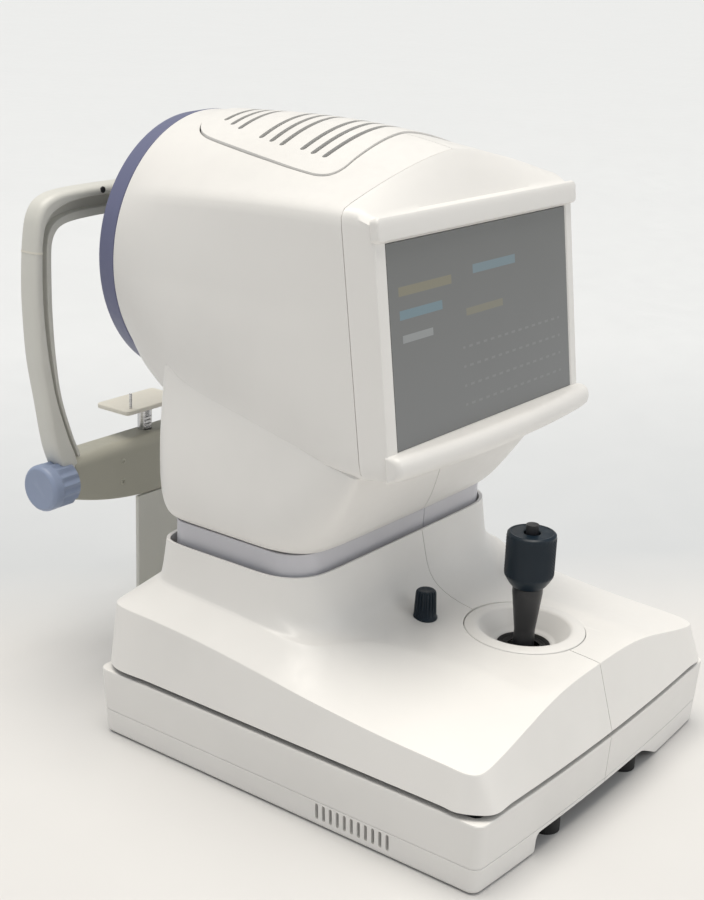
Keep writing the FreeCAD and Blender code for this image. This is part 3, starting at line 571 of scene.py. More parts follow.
# Half outlines from the front middle round the left side to the back middle.
CREST = [(0, 10, 104), (-28, 10, 103.7), (-52, 9.6, 102.4), (-76, 9.2, 98.6), (-102, 8.8, 92.5),
         (-127, 8.6, 86.6), (-147, 9.6, 82.8), (-154, 17, 82.6), (-155, 32, 83.6), (-155, 60, 84.6),
         (-155, 90, 86), (-155, 120, 88.5), (-155, 150, 91.3), (-155, 180, 95), (-155, 208, 98.2),
         (-155, 236, 101), (-155, 262, 103), (-155, 290, 104.4), (-153, 320, 104.2),
         (-144, 332.5, 104), (-112, 336, 104), (-60, 336, 104), (0, 336, 104)]
RIDGE = [(0, 17, 104.6), (-26, 17, 104.5), (-48, 17, 103.8), (-60, 20, 103.2), (-65, 34, 104),
         (-68, 54, 104.8), (-70, 76, 105.4), (-71.5, 97, 106), (-74, 116, 107), (-80, 132, 108.4),
         (-91, 143, 109.8), (-106, 151, 111), (-121, 160, 112.3), (-131, 175, 114), (-134, 200, 116.4),
         (-134, 226, 118.6), (-134, 256, 120.4), (-133.5, 290, 121.8), (-128, 307.5, 122.6),
         (-112, 315.5, 123), (-82, 316, 123), (-45, 316, 123), (0, 316, 123)]
FILLET = [(0, 140, 105.6), (-18, 140.5, 105.7), (-34, 141.5, 105.9), (-46, 143, 106.1), (-54, 144.5, 106.3),
          (-61, 146, 106.6), (-67.5, 147.5, 107), (-74, 149, 107.5), (-81, 151.2, 108.2), (-89, 154, 109.2),
          (-98, 157.8, 110.4), (-108.5, 162.5, 111.8), (-119, 169.5, 113.6), (-127, 180.5, 115.8),
          (-131.5, 202, 118.8), (-132, 228, 121), (-132, 258, 123), (-131.4, 290, 124.2), (-126.3, 306, 125),
          (-111, 313.4, 125.5), (-82, 314, 125.5), (-45, 314, 125.5), (0, 314, 125.5)]
WALL = [(0, 166, 117), (-20, 166, 117), (-38, 166.2, 117), (-53, 166.5, 117), (-64, 167, 117.2),
        (-74, 167.4, 117.5), (-83, 168, 117.8), (-91, 169, 118), (-98.5, 170.5, 118.3), (-106, 173, 118.8),
        (-113, 177, 119.6), (-119.5, 182.5, 121), (-125, 190.5, 123.4), (-128.5, 200, 126.5),
        (-130, 213, 130), (-130, 232, 133), (-130, 260, 135), (-129.5, 289.5, 136), (-125, 304.6, 136),
        (-110.5, 311.5, 136), (-82, 312, 136), (-45, 312, 136), (0, 312, 136)]
RIM = [(0, 176), (-20, 176), (-38, 176), (-54, 176), (-66, 176), (-77, 176), (-87, 176.2), (-96, 176.8),
       (-103.5, 178.2), (-110, 180.8), (-116, 184.8), (-121, 190.2), (-125, 197.5), (-127.4, 206.5),
       (-128, 218), (-128, 235), (-128, 262), (-127.6, 289), (-123.4, 303.2), (-109.8, 309.6), (-82, 310),
       (-45, 310), (0, 310)]
RIM_TOP = 154.0


def base_outline(inset, corner, z):
    """Closed outline of the base at a height, its front bowed forward by 5 mm."""
    wide, front, back = 160 - inset, inset, 338 - inset
    straight = wide - corner
    points = [(-straight * k / 10, front - 5 * (1 - (k / 10) ** 2), z) for k in range(11)]
    points += [(x, y, z) for x, y in corner_arc((-straight, front + corner), corner, 270, 180, 6)[1:]]
    points += [(x, y, z) for x, y in corner_arc((-straight, back - corner), corner, 180, 90, 6)]
    points += [(-straight * k / 10, back, z) for k in range(9, -1, -1)]
    return mirrored(points)


def cover_skirt(point, outline):
    """The nearest point of the bottom edge to a point of the crest."""
    place = Vector(point[:2])
    best = None
    for a, b in zip(outline, outline[1:] + outline[:1]):
        a, b = Vector(a[:2]), Vector(b[:2])
        share = max(0.0, min(1.0, (place - a).dot(b - a) / max(1e-9, (b - a).length_squared)))
        spot = a + (b - a) * share
        if best is None or (spot - place).length < (best - place).length:
            best = spot
    return best.x, best.y, COVER_BOTTOM


def build_cover():
    edge = base_outline(0.0, 6, COVER_BOTTOM)
    skirt = [cover_skirt(p, edge) for p in CREST]
    rim = [(x, y, RIM_TOP) for x, y in RIM]
    shoulder = shares(CREST, RIDGE, 0.5)
    plateau = shares(RIDGE, FILLET, 0.5)
    loops = [skirt, shares(skirt, CREST, 0.06), shares(skirt, CREST, 0.5), shares(skirt, CREST, 0.94), CREST,
             shares(CREST, RIDGE, 0.06), shoulder, RIDGE, plateau, FILLET, WALL, shares(WALL, rim, 0.55),
             shares(WALL, rim, 0.95), rim]
    skirt_row, crest_row, ridge_row, rim_row = 0, 4, 7, 13
    count, side_start = 176, 46
    ridge_crease = lambda k: 0.75 if side_start <= min(k, count - k) else 0.1
    cover = loft("cover", [smooth_loop(mirrored(loop)) for loop in loops],
                 {skirt_row: 1.0, crest_row: 0.5, ridge_row: ridge_crease, rim_row: 1.0})
    subdivided(cover, 2)
    for side, _ in halves(cover, "cover", "upper_cover", PARTING, PARTING_NORMAL, 0.3, 0.7):
        thickened(side, 2.6)
        boolean(side, prism(circle(STICK, 44.4, 96), 80, 140))


def build_well():
    """The recessed cone that the joystick comes through, with its flush ring."""
    profile = [(43.4, 96), (43.9, 97), (43.9, 104.6), (43.6, 105.3), (42.9, 105.8), (38, 106.6), (35.4, 106.7),
               (33.8, 106.2), (32.6, 105), (24, 95.2), (22.6, 94.2), (21, 93.6), (20, 93.2), (19.4, 92.4),
               (19.4, 91), (21, 90.8), (42, 94)]
    kept(lathe("joystick_surround", profile, STICK, steps=128), "joystick_well")
    sleeve = [(19.2, 92.8), (18.4, 93.2), (17.6, 92.6), (16.6, 91.2), (15.6, 91.8), (14.8, 92.0), (14.2, 91.4),
              (13.2, 90.9), (12.4, 90.9), (12.4, 90.3), (14, 90.2), (19.2, 90.8)]
    extra(lathe("joystick_gaiter", sleeve, STICK), "joystick_well", "black_rubber", "black_rubber")


build_cover()
build_well()

# ---------------------------------------------------------------- lower base

def build_base():
    # Inset and height of each loop, up the outside with its groove and down the inside.
    levels = [(5.2, 1.0), (4.2, 1.3), (3.4, 2.2), (3.0, 3.6), (1.9, 19.3), (2.5, 19.7), (2.5, 20.3),
              (1.8, 20.7), (0.1, 50.0), (0.0, 52.0), (0.4, 52.7), (1.2, 53.0), (7.6, 53.0), (7.8, 51.6),
              (3.8, 50.0), (5.4, 20.0), (6.4, 3.0), (6.8, 1.0), (5.2, 1.0)]
    loops = [base_outline(inset, 8 - inset * 0.4, z) for inset, z in levels]
    shell = loft("base", loops)
    openings = [slot_outline((12.0, 72 + 5.9 * k), 6.2, 1.25) for k in range(11)]
    for side, sign in halves(shell, "base", "lower_shell", PARTING, PARTING_NORMAL, 0.3, 0.5, fill=True):
        boolean(side, front_arch())
        across = sorted((sign * 120, sign * 170))
        boolean(side, joined(*[prism([(y, z) for z, y in outline], *across, "x") for outline in openings]))
        if sign > 0:
            for left, right in ((72, 96.5), (103.5, 118.5)):    # mains socket, then switch
                boolean(side, prism([(left, 24), (right, 24), (right, 45), (left, 45)], 300, 350, "y"))


def front_arch():
    """Tool for the low opening in the front wall."""
    outline = [(-90, -5), (-90, 12), (-89.4, 14.6), (-87.6, 16.3), (-85, 16.8), (50, 16.8), (57, 16.2),
               (63, 14), (84, 3.4), (93, -0.5), (95, -5)]
    return prism(outline, -30, 30, "y")


build_base()

# ---------------------------------------------------------------- neck and collar

NECK_BOTTOM = 169.8
NECK_RIM = [(0, 177.5), (-30, 177.5), (-60, 177.8), (-84, 178.4), (-100, 180.5), (-110, 186.5), (-116.5, 196.5),
            (-119.3, 211), (-119.5, 230), (-119.5, 250), (-119.5, 270), (-119.4, 287), (-117, 299.5),
            (-107.5, 307.6), (-78, 308.5), (-40, 308.5), (0, 308.5)]
NECK_TOP = [(0, 131, 241), (-40, 131, 241), (-84, 131, 241), (-113, 131.5, 241), (-124.6, 134, 240.8),
            (None, 147, 243.4), (None, 162, 246), (None, 180, 250), (None, 203, 255.2),
            (None, 228, 260.4), (None, 254, 264.6), (None, 280, 268.6), (None, 304, 273.5),
            (None, 320, 277.6), (-82, 324, None), (-42, 325, None), (0, 325, None)]
NECK_SHARES = [0.0, 0.028, 0.075, 0.14, 0.27, 0.48, 0.70, 0.86, 1.0]
NECK_SWELL = [0.0, 4.6, 7.4, 9.3, 10.2, 8.8, 5.6, 2.6, 0.0]


def head_outline(y):
    """The (x, z) section of the head at a place along it."""
    front = seam_y(265)
    return [(x, z) for x, _, z in head_loop((y - front) / (RING_START - front))]


def head_x(y, z):
    """Where the left flank of the head is, at a place along it and a height."""
    outline = head_outline(y)
    for (xa, za), (xb, zb) in zip(outline, outline[1:]):
        if xa < 0 and min(za, zb) <= z <= max(za, zb) and za != zb:
            return xa + (xb - xa) * (z - za) / (zb - za)


def head_z(x, y):
    """Where the underside of the head is."""
    outline = head_outline(y)
    for (xa, za), (xb, zb) in zip(outline, outline[1:]):
        if max(za, zb) < AXIS and min(xa, xb) <= x <= max(xa, xb) and xa != xb:
            return za + (zb - za) * (x - xa) / (xb - xa)


def neck_top():
    """The neck's top edge, tucked just inside the head where a coordinate is left open."""
    result = []
    for x, y, z in NECK_TOP:
        result.append((head_x(y, z) - 0.4 if x is None else x, y, head_z(x, y) - 0.3 if z is None else z))
    return result


def neck_loop(share, swell=0.0):
    """The neck at a share of the way from its rim to the crease, swollen along the rim's normal."""
    half_loop = list(zip(NECK_RIM, neck_top()))
    closed = mirrored(NECK_RIM)
    result = []
    for k, ((x, y), (tx, ty, tz)) in enumerate(half_loop):
        before, after = Vector(closed[k - 1]), Vector(closed[(k + 1) % len(closed)])
        along = (after - before).normalized()
        out = Vector((-along.y, along.x))
        amount = swell * (0.5 + 0.5 * min(1.0, max(0.0, (y - 180) / 30)))
        result.append((x + (tx - x) * share + out.x * amount, y + (ty - y) * share + out.y * amount,
                       NECK_BOTTOM + (tz - NECK_BOTTOM) * share))
    return result


def build_neck():
    inner = [(x * 0.955, y + (4 if y < 240 else -4), NECK_BOTTOM + 0.6) for x, y, _ in neck_loop(0.0)]
    loops = [inner] + [neck_loop(share, swell) for share, swell in zip(NECK_SHARES, NECK_SWELL)]
    tucked = [(x * 0.97, y + (3 if y < 230 else -3), z + 4) for x, y, z in neck_loop(1.0)]
    loops.append(tucked)
    neck = loft("neck", [smooth_loop(mirrored(loop), 3) for loop in loops], {0: 1.0, 1: 0.7, 9: 0.9})
    subdivided(neck, 2)
    for side, _ in halves(neck, "neck", "neck_shell", (12, 178, 174), (0.88, 0.0, 0.47), 0.3, 0.5):
        thickened(side, 2.4)


def collar_loop(inset, z):
    wide, front, back, near, far = 121 - inset, 182 + inset, 303 - inset, 24 - inset, 14 - inset
    half_points = [(0, front), (-40, front)]
    half_points += corner_arc((-(wide - near), front + near), near, 270, 180, 8)
    half_points += corner_arc((-(wide - far), back - far), far, 180, 90, 8)
    half_points += [(-40, back), (0, back)]
    return mirrored([(x, y, z) for x, y in half_points])


def build_collar():
    levels = [(0, 138.5), (0, 169.3), (3, 169.3), (3, 138.5), (0, 138.5)]
    shell = loft("collar", [collar_loop(inset, z) for inset, z in levels])
    boolean(shell, prism([(29.4, 150), (30.2, 150), (30.2, 183), (29.4, 183)], 120, 180))
    rounded(shell, 0.35, 2, 50)
    kept(shell, "neck_collar")


# ---------------------------------------------------------------- head

AXIS = 342.8
RING_START = 375.3
RING_RADIUS = 104.0
SEAM_GAP = 0.35
COLUMNS = 144
# Height of the crease above the neck, along the head.
CREASE_HEIGHTS = [(133, 241), (168, 246.8), (191, 253), (218, 258.4), (242, 263.2), (268, 266.4), (317, 276)]
# Place along the head and half length of each slot in the vent cover.
VENT_SLOTS = [(214, 67), (225.5, 65), (237, 62), (257, 60), (268.5, 57), (280.5, 54), (308, 45), (319.5, 40),
              (331, 34)]


def seam_y(z):
    """Where the parting between the head and the bezel is, at a height."""
    return 141.3 + 0.14 * (z - 340)


def seam_section():
    """Closed section of the head at its parting with the bezel, from the right side anticlockwise."""
    crown = lambda x: 440.5 - 24.5 * (abs(x) / 119) ** 1.45
    points = [(128, AXIS), (128, 370), (128, 395), (128, 405)]
    points += [(127.6, 408.6), (126.2, 411.8), (123.6, 414.2), (120.6, 415.4)]
    points += [(118 - 118 * k / 24, crown(118 - 118 * k / 24)) for k in range(25)]
    points += [(-x, z) for x, z in points[::-1][1:]]
    below = [(-128, 310), (-128, 275), (-128, 254), (-127.6, 248), (-125.8, 243.4), (-121.5, 240.6), (-115, 240),
             (-90, 240), (-45, 240), (0, 240)]
    points += below
    points += [(-x, z) for x, z in below[::-1][1:]]
    return points


def section_radii():
    """Distance of the seam section from the axis at even angles."""
    outline = [Vector((x, z - AXIS)) for x, z in seam_section()]
    radii = []
    for k in range(COLUMNS):
        angle = math.tau * k / COLUMNS
        ray = Vector((math.cos(angle), math.sin(angle)))
        best = 0.0
        for a, b in zip(outline, outline[1:] + outline[:1]):
            edge = b - a
            det = ray.x * -edge.y + ray.y * edge.x
            if abs(det) < 1e-9:
                continue
            t = (a.x * -edge.y + a.y * edge.x) / det
            s = (ray.x * a.y - ray.y * a.x) / det
            if -1e-6 <= s <= 1 + 1e-6 and t > best:
                best = t
        radii.append(best)
    return radii


RADII = section_radii()


def head_loop(share, grow=0.0):
    """Section of the head shells, from the bezel (0) to the end ring (1)."""
    loop = []
    for k, start in enumerate(RADII):
        angle = math.tau * k / COLUMNS
        up = max(0.0, math.sin(angle))
        under = max(0.0, -math.sin(angle))
        ease = share ** min(3.4, 1.12 + 0.38 * math.cos(angle) ** 2 + 3.6 * under)
        radius = start * (1 - ease) + RING_RADIUS * ease
        radius += 7.5 * up ** 3 * math.sin(math.pi * share ** 0.8)
        radius += 3.0 * (1 - up) * (1 - under) * math.sin(math.pi * share)
        radius += grow
        x, z = radius * math.cos(angle), AXIS + radius * math.sin(angle)
        front = seam_y(z) + SEAM_GAP
        y = front + (RING_START - 0.3 - front) * share
        if z < AXIS:
            below = (z - between(CREASE_HEIGHTS, y)) / 22
            x *= 1 - 0.034 * math.exp(-below * below) * max(0.0, min(1.0, (y - 144) / 40, (360 - y) / 40))
        loop.append((x, y, z))
    return loop


def vent_outline(grow):
    """Plan of the vent cover: a nearly straight front edge, sides closing towards the back."""
    points = [(x, 196 - 3.6 * (abs(x) / 60) ** 1.5) for x in (0, 20, 40, 60)]
    points += [(74, 190.6), (82, 191.6), (86.6, 195.2), (88, 201.5), (87.2, 209), (82.5, 230), (76.6, 252.7),
               (70.6, 276), (64.9, 297.5), (59, 319), (54.6, 332), (48, 342.5), (38, 350), (26, 353.6),
               (12, 354.8), (0, 355)]
    points = smooth_loop([(x, y, 0) for x, y in points] + [(-x, y, 0) for x, y in points[-2:0:-1]], 3)
    middle = Vector((0, 272))
    grown = []
    for x, y, _ in points:
        away = Vector((x, y)) - middle
        place = middle + away * (1 + grow / away.length)
        grown.append((place.x, place.y))
    return grown


def build_head():
    steps = 36
    shell = loft("head", [head_loop(k / steps) for k in range(steps + 1)])
    for side, _ in halves(shell, "head", "head_shell", (0, 200, 0), (1, 0, 0), 0.25, 0.45):
        thickened(side, 2.6)
        boolean(side, prism(vent_outline(0.3), 395, 470))
        boolean(side, prism([(-88, 150), (88, 150), (88, 312), (-88, 312)], 200, 262))
    cover = loft("vent_cover", [head_loop(k / steps, 1.3) for k in range(steps + 1)])
    thickened(cover, 3.6)
    boolean(cover, prism(vent_outline(-0.7), 405, 470), "INTERSECT")
    boolean(cover, joined(*[prism(slot_outline((0, middle), half_long, 2.15), 380, 470)
                            for middle, half_long in VENT_SLOTS]))
    rounded(cover, 0.8, 3, 45)
    kept(cover, "top_vent_cover")
    # A thin plate under the vent slots in the darker grey: painted shade inside the head, seen through the slots.
    extra(prism(vent_outline(-6), 404, 405.5), "top_vent_cover", "painted_shade_grey")


build_head()
build_neck()
build_collar()

# ---------------------------------------------------------------- screen surround

SCREEN_LEAN = math.radians(7.5)
SCREEN_PLACE, SCREEN_HEIGHT = 119.9, 327.3


def lean_point(x, out, up):
    """A point of the screen's tilted plane: out is ahead of it, up is along it from its middle."""
    rise, run = math.cos(SCREEN_LEAN), math.sin(SCREEN_LEAN)
    return x, SCREEN_PLACE + up * run - out * rise, SCREEN_HEIGHT + up * rise + out * run


def build_bezel():
    """Surround from the head's parting to the screen opening, with its brow above and lip below."""
    outline = seam_section()
    head_wide, head_flat = 128, 119

    def front_point(x, z, inset, out):
        """Where a point of the parting comes to on the surround's front edge."""
        wide, top, low = 122.6 - inset, 84.8 - inset, -84.0 + inset
        across = x * 122.6 / head_wide if abs(x) < 127.9 else math.copysign(wide, x)
        across, up = max(-wide, min(wide, across)), max(low, min(top, z - SCREEN_HEIGHT))
        if abs(x) > head_flat and z > 404:
            up = top - (1 - min(1, (z - 404) / 11)) * 8
            across = math.copysign(wide - max(0, (z - 409)) * 0.9, x)
        return lean_point(across, out, up)

    def opening_point(x, z, grow, out):
        """Where a point of the parting comes to on the edge of the screen opening."""
        wide, high = 110.9 + grow, 67.0 + grow
        across = max(-wide, min(wide, x / head_flat * wide))
        up = max(-high, min(high, (z - SCREEN_HEIGHT) / (77 if z > SCREEN_HEIGHT else 76) * high))
        if abs(x) >= head_flat:
            across = math.copysign(wide, x)
        if z >= 415:
            up = high
        if z <= 243:
            up = -high
        return lean_point(across, out, up)

    seam = [(x, seam_y(z) - SEAM_GAP, z) for x, z in outline]
    edge = [front_point(x, z, 0.0, -3.5) for x, z in outline]
    loops = [seam]
    for share in (0.15, 0.35, 0.55, 0.75, 0.9):
        bulge = 1.6 * math.sin(math.pi * share)
        loops.append([(x, y, z + bulge * (z > 405)) for x, y, z in shares(seam, edge, share)])
    loops.append(edge)
    loops += [[front_point(x, z, inset, out) for x, z in outline] for inset, out in ((1.2, -0.6), (3.6, 0.6))]
    loops += [[opening_point(x, z, grow, out) for x, z in outline]
              for grow, out in ((1.2, 0.6), (0.0, -0.6), (0.0, -6.5))]
    frame_shell = loft("screen_surround", loops)
    thickened(frame_shell, 2.2)
    brow = bar_along_x([(-3.5, 83.2), (1.6, 84.4), (3.4, 83.6), (4.4, 81.6), (4.6, 78), (4.5, 71.5), (3.8, 69.3),
                        (2.2, 68.2), (-3.5, 67.4)], 122.9, 0.0)
    lip = bar_along_x([(-3, -66.9), (3.4, -67.2), (6.4, -68.2), (8.6, -70.0), (9.8, -73), (9.8, -77), (8.2, -81),
                       (4.8, -84), (-3, -85.8)], 123.2, 9.5)
    kept(frame_shell, "screen_bezel")
    extra(brow, "screen_bezel")
    extra(lip, "screen_bezel")


def bar_along_x(profile, half_long, bow, round_end=4.0, steps=40):
    """A rounded bar across the screen, bowed outwards; profile is (out, up) in the tilted plane."""
    middle = (sum(p[0] for p in profile) / len(profile), sum(p[1] for p in profile) / len(profile))
    ends = [half_long - round_end * (1 - math.sin(math.pi / 2 * k / 6)) for k in range(6, -1, -1)]
    straight = half_long - round_end
    stations = [-x for x in ends] + [-straight + 2 * straight * k / steps for k in range(1, steps)] + ends[::-1]
    loops = []
    for x in stations:
        depth = max(0.0, abs(x) - straight) / round_end
        shrink = round_end * (1 - math.sqrt(max(0.0, 1 - depth * depth)))
        forward = bow * (1 - (abs(x) / half_long) ** 2.2)
        loop = []
        for out, up in profile:
            away = Vector((out - middle[0], up - middle[1]))
            away = away * max(0.0, 1 - shrink / away.length)
            loop.append(lean_point(x, middle[0] + away.x + forward * (out > -2.9), middle[1] + away.y))
        loops.append(loop)
    return loft("bar", loops, cap_first=True, cap_last=True)


build_bezel()

# ---------------------------------------------------------------- end ring

def build_ring():
    profile = [(96, 375.5), (103.2, 375.5), (104.0, 376.2), (104.0, 377.2), (100.9, 392.6), (100.2, 393.6),
               (98.9, 394.0), (95.4, 394.0), (94.2, 393.4), (93.9, 392.4), (93.9, 388)]
    kept(lathe("end_ring", profile, (0, 0, AXIS), "y", 160), "patient_end_ring")


build_ring()

# ---------------------------------------------------------------- chin and forehead rest

# Half of the arch from its left foot to the middle of the crown, as (x, z) of the outer edge,
# of the front panel's inner edge and of the inner rail's edge.
ARCH = [((-97, 156), (-88, 156), (-81, 156)), ((-105, 167), (-90, 167), (-82.5, 167)),
        ((-111, 180), (-92.8, 180), (-85, 180)), ((-116, 196), (-99.6, 196), (-91.8, 196)),
        ((-122, 229), (-110.8, 229), (-102.5, 229)), ((-128, 262), (-117.4, 262), (-107.4, 262)),
        ((-130.4, 293), (-121, 293), (-109.6, 293)), ((-131, 318), (-122, 318), (-110, 318)),
        ((-129.6, 345), (-121.4, 344), (-109.6, 342)), ((-127.4, 362), (-119.8, 357), (-108.2, 351)),
        ((-124.4, 372.4), (-117.2, 365), (-105.4, 356.6)), ((-118.6, 380.4), (-112.2, 371.2), (-101, 360.6)),
        ((-109, 385.2), (-104, 375.8), (-94, 363)), ((-97, 387.3), (-93, 379), (-85, 364.2)),
        ((-80, 388.3), (-78, 380.8), (-72, 365)), ((-55, 388.7), (-54, 381.3), (-52, 365.6)),
        ((-28, 388.8), (-28, 381.5), (-28, 365.8)), ((0, 388.8), (0, 381.5), (0, 365.8))]


def arch_section(outer, panel, rail, grow=0.0):
    """Closed section of the arch: a rounded front panel, a deep groove and a slim inner rail."""
    across = (panel - outer).normalized()
    inwards = (rail - panel).normalized()
    lip = panel + (rail - panel) * 0.6
    row = [(outer + across * 1.5, 446), (outer, 444.6), (outer, 436), (outer + across * 0.5, 433.4),
           (outer + across * 1.6, 431.4), (outer + across * 3.2, 430.3), (outer + across * 4.8, 430),
           (panel - across * 1.4, 430), (panel - across * 0.4, 430.5), (panel, 431.6),
           (panel + inwards * 0.2, 440.5), (lip - inwards * 0.2, 440.5), (lip, 435.2),
           (lip + inwards * 0.3, 434.3), (lip + inwards * 1.0, 434), (rail - inwards * 1.0, 434),
           (rail - inwards * 0.3, 434.3), (rail, 435.2), (rail, 444.8), (rail - inwards * 1.2, 446)]
    loop = [Vector((place.x, depth, place.y)) for place, depth in row]
    if grow:
        middle = Vector((outer.x + panel.x, 2 * 438, outer.y + panel.y)) / 2
        loop = [point + (point - middle).normalized() * grow for point in loop]
    return [tuple(point) for point in loop]


def build_arch():
    """The arch with a thin white mark round each leg at eye height, and two screws in its crown."""
    eye_height, mark_half = 344.6, 0.8
    paths = [smooth_path([row[k] for row in ARCH], 5) for k in range(3)]
    left = list(zip(*paths))
    flip = lambda row: tuple(Vector((-point.x, point.y)) for point in row)
    stations = left + [flip(row) for row in left[-2::-1]]
    arch = loft("arch", [arch_section(*row) for row in stations], cap_first=True, cap_last=True)
    kept(arch, "headrest_arch")
    marks = []
    for side in (left, [flip(row) for row in left]):
        outer, panel, _ = min(side, key=lambda row: abs(row[0].y - eye_height))
        strip = []
        for rise in (-mark_half, mark_half):
            up = Vector((0, rise))
            section = arch_section(outer + up, panel + up, panel + up + (panel - outer), 0.32)
            strip.append(section[:10] + [(section[9][0], 439, section[9][2]), (section[0][0], 443, section[0][2])])
        marks.append(loft("mark", strip, cap_first=True, cap_last=True))
    kept(joined(*marks), "eye_level_marks", look="tray_white")
    plug = [(0.02, 429.4), (1.2, 429.4), (2.1, 429.5), (2.5, 429.9), (2.6, 430.6), (0.02, 430.6)]
    screws = [lathe("screw", plug, (x, 0, 385), "y", 24) for x in (-60.4, 60.4)]
    kept(joined(*screws), "headrest_screws", look="black_plastic")


def rounded_section(front, back, low, high, corners, steps=6):
    """Closed (y, z) section with a radius for each corner: front top, back top, back low, front low."""
    top_front, top_back, low_back, low_front = corners
    points = corner_arc((front + top_front, high - top_front), top_front, 180, 90, steps)
    points += corner_arc((back - top_back, high - top_back), top_back, 90, 0, steps)
    points += corner_arc((back - low_back, low + low_back), low_back, 0, -90, steps)
    points += corner_arc((front + low_front, low + low_front), low_front, -90, -180, steps)
    return points


def build_beam():
    """The beam with its arched underside and cover screws, and the flat post that carries it."""
    half_long, steps = 95.0, 40
    loops = []
    for k in range(steps + 1):
        x = -half_long + 2 * half_long * k / steps
        low = 128.3 + 15.5 * (x / half_long) ** 2
        loops.append([(x, y, z) for y, z in rounded_section(429, 456, low, 178, (9, 3, 3, 2.5))])
    beam = loft("beam", loops, cap_first=True, cap_last=True)
    rounded(beam, 1.4, 3, 60)
    boolean(beam, prism(circle((0, 447), 6.1), 100, 190))
    # The beam and its screws take the darker grey as painted shade from the head above.
    kept(beam, "chinrest_beam", look="painted_shade_grey")
    profile = [(0.02, 428.9), (1.0, 428.9), (1.1, 428.3), (2.3, 428.4), (2.7, 428.8), (2.8, 429.5), (0.02, 429.5)]
    for x, z in ((-43, 163), (-43, 146), (43, 163), (43, 146)):
        extra(lathe("beam_screw", profile, (x, 0, z), "y", 24), "chinrest_beam", "painted_shade_grey")
    (left, right), (front, back), (low, high) = node_box("chinrest_post")
    post = prism([(left, front), (right, front), (right, back), (left, back)], low, high)
    post.name = "post"
    rounded(post, 0.9, 3, 50)
    kept(post, "chinrest_post")


def build_tray():
    """The chin plate and its two pins for paper."""
    (left, right), (front, back), (low, high) = node_box("chin_tray")
    turn, outline = 4, []
    for x, y, start in ((right - turn, front + turn, -90), (right - turn, back - turn, 0),
                        (left + turn, back - turn, 90), (left + turn, front + turn, 180)):
        outline += corner_arc((x, y), turn, start, start + 90, 5)
    plate = prism(outline, low, high)
    plate.name = "chin_plate"
    rounded(plate, 1.1, 3, 50)
    kept(plate, "chin_tray")
    _, (front, back), (low, high) = node_box("paper_pins")
    pin = [(0.02, low), (1.2, low), (1.2, high - 0.9), (1.0, high - 0.4), (0.6, high - 0.08), (0.02, high)]
    kept(joined(*[lathe("pin", pin, (x, (front + back) / 2, 0), "z", 24) for x in (-24, 24)]), "paper_pins")


def build_knob():
    """Turned knob with a smooth outer band and sixteen scallops behind it."""
    (outer, inner), (near, far), (low, high) = node_box("chin_knob")
    wide, steps, scallops = (far - near) / 2, 192, 16

    def scallop(row, k):
        depth = {14: 0.7, 15: 1.0, 16: 1.0, 17: 1.0, 18: 0.8}.get(row, 0.0)
        return -1.7 * depth * (0.5 + 0.5 * math.cos(math.tau * k * scallops / steps)) ** 0.7

    profile = [(0.02, outer + 0.5), (4, outer + 0.5), (12, outer + 0.4), (14.6, outer + 0.2), (15.6, outer),
               (16.4, outer + 0.3), (17.4, outer + 1.3), (wide - 0.4, outer + 2.4), (wide - 0.1, outer + 3.2),
               (wide, outer + 4.2), (wide, outer + 6), (wide, outer + 8), (wide, outer + 9), (wide, outer + 9.6),
               (wide, outer + 11), (wide, outer + 12.6), (wide, outer + 18), (wide, outer + 25.4),
               (wide - 0.4, outer + 27), (wide - 1.6, inner), (12, inner), (4.1, inner), (4.1, outer + 13.4),
               (0.02, outer + 13.4)]
    knob = lathe("knob", profile, (0, (near + far) / 2, (low + high) / 2), "x", steps, scallop)
    kept(knob, "chin_knob", look="knob_blue")


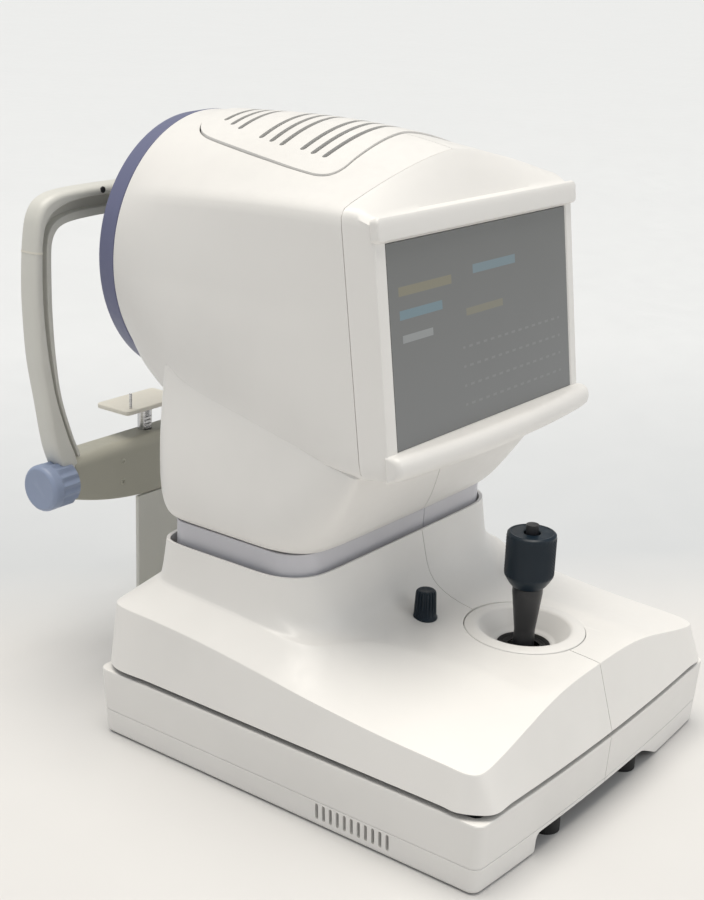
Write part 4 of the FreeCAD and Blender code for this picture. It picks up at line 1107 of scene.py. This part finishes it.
def build_forehead_pad():
    """Crowned silicone pad with soft edges, on the patient's side of the arch."""
    (left, right), (front, back), (low, high) = node_box("forehead_pad")
    middle, rise, reach = (low + high) / 2, (high - low) / 2, (right - left) / 2
    power, steps, loops = 3.2, 72, []
    for depth, shrink in ((0.0, 2.2), (0.05, 0.7), (0.16, 0.1), (0.34, 0.0), (0.52, 0.3), (0.68, 1.3), (0.80, 3.0),
                          (0.89, 5.2), (0.95, 7.4), (0.985, 9.4), (1.0, 10.8)):
        loop = []
        for k in range(steps):
            angle = math.tau * k / steps
            across, up = math.cos(angle), math.sin(angle)
            size = (abs(across) ** power + abs(up) ** power) ** (-1 / power)
            x, z = (reach - shrink) * across * size, (rise - shrink) * up * size
            sag = 1.6 * (abs(x) / reach) ** 2 * depth
            loop.append((x, front + (back - front) * depth - sag, middle + z))
        loops.append(loop)
    pad = loft("brow_pad", loops, cap_first=True, cap_last=True)
    pad = subdivided(pad, 1)
    kept(pad, "forehead_pad", smooth=70)


build_arch()
build_beam()
build_tray()
build_knob()
build_forehead_pad()

# ---------------------------------------------------------------- joystick and dial

def build_joystick():
    """The knurled head of the joystick, hollow for its button and stick."""
    (left, right), _, (low, top) = node_box("joystick_grip")
    relief = 0.3
    wide = (right - left) / 2 - relief
    head = [(11.2, low + 0.2), (12, low), (13.6, low + 1.8), (15.4, low + 4.4), (wide - 0.9, low + 6.8),
            (wide, low + 8.4), (wide, low + 9.2)]
    knurled = [(wide, low + 10 + (top - low - 13.5) * k / 23) for k in range(24)]
    cap = [(wide, top - 2.8), (wide - 0.1, top - 1.4), (wide - 0.8, top - 0.6), (wide - 1.9, top - 0.2),
           (wide - 2.8, top - 0.5), (wide - 3.4, top - 0.7), (7.2, top - 0.4), (6.2, top - 1.0), (6.2, top - 8),
           (11, top - 10), (11, low + 2)]

    def knurl(row, k):
        if not len(head) <= row < len(head + knurled):
            return 0.0
        return relief if (k // 2 + row) % 2 else -relief

    grip = lathe("stick_head", head + knurled + cap, STICK, steps=128, shape=knurl)
    kept(grip, "joystick_grip", look="grip_black")


def build_dial():
    """Small ribbed dial on its shaft."""
    (left, right), (near, far), (low, high) = node_box("brightness_dial")
    profile = [(0.02, low), (2.9, low), (2.9, high - 22.2), (9.0, high - 22.2), (9.3, high - 21.6),
               (9.2, high - 20.4), (8.3, high - 19.2), (8.0, high - 12), (7.5, high - 2.2), (7.1, high - 1.0),
               (6.2, high - 0.2), (5.0, high), (3.4, high - 0.3), (0.02, high - 0.3)]
    ribs = lambda row, k: -0.9 if 7 <= row <= 9 and k % 6 >= 3 else 0.0
    dial = lathe("dial", profile, ((left + right) / 2, (near + far) / 2, 0), "z", 108, ribs)
    kept(dial, "brightness_dial", look="grip_black")


build_joystick()
build_dial()
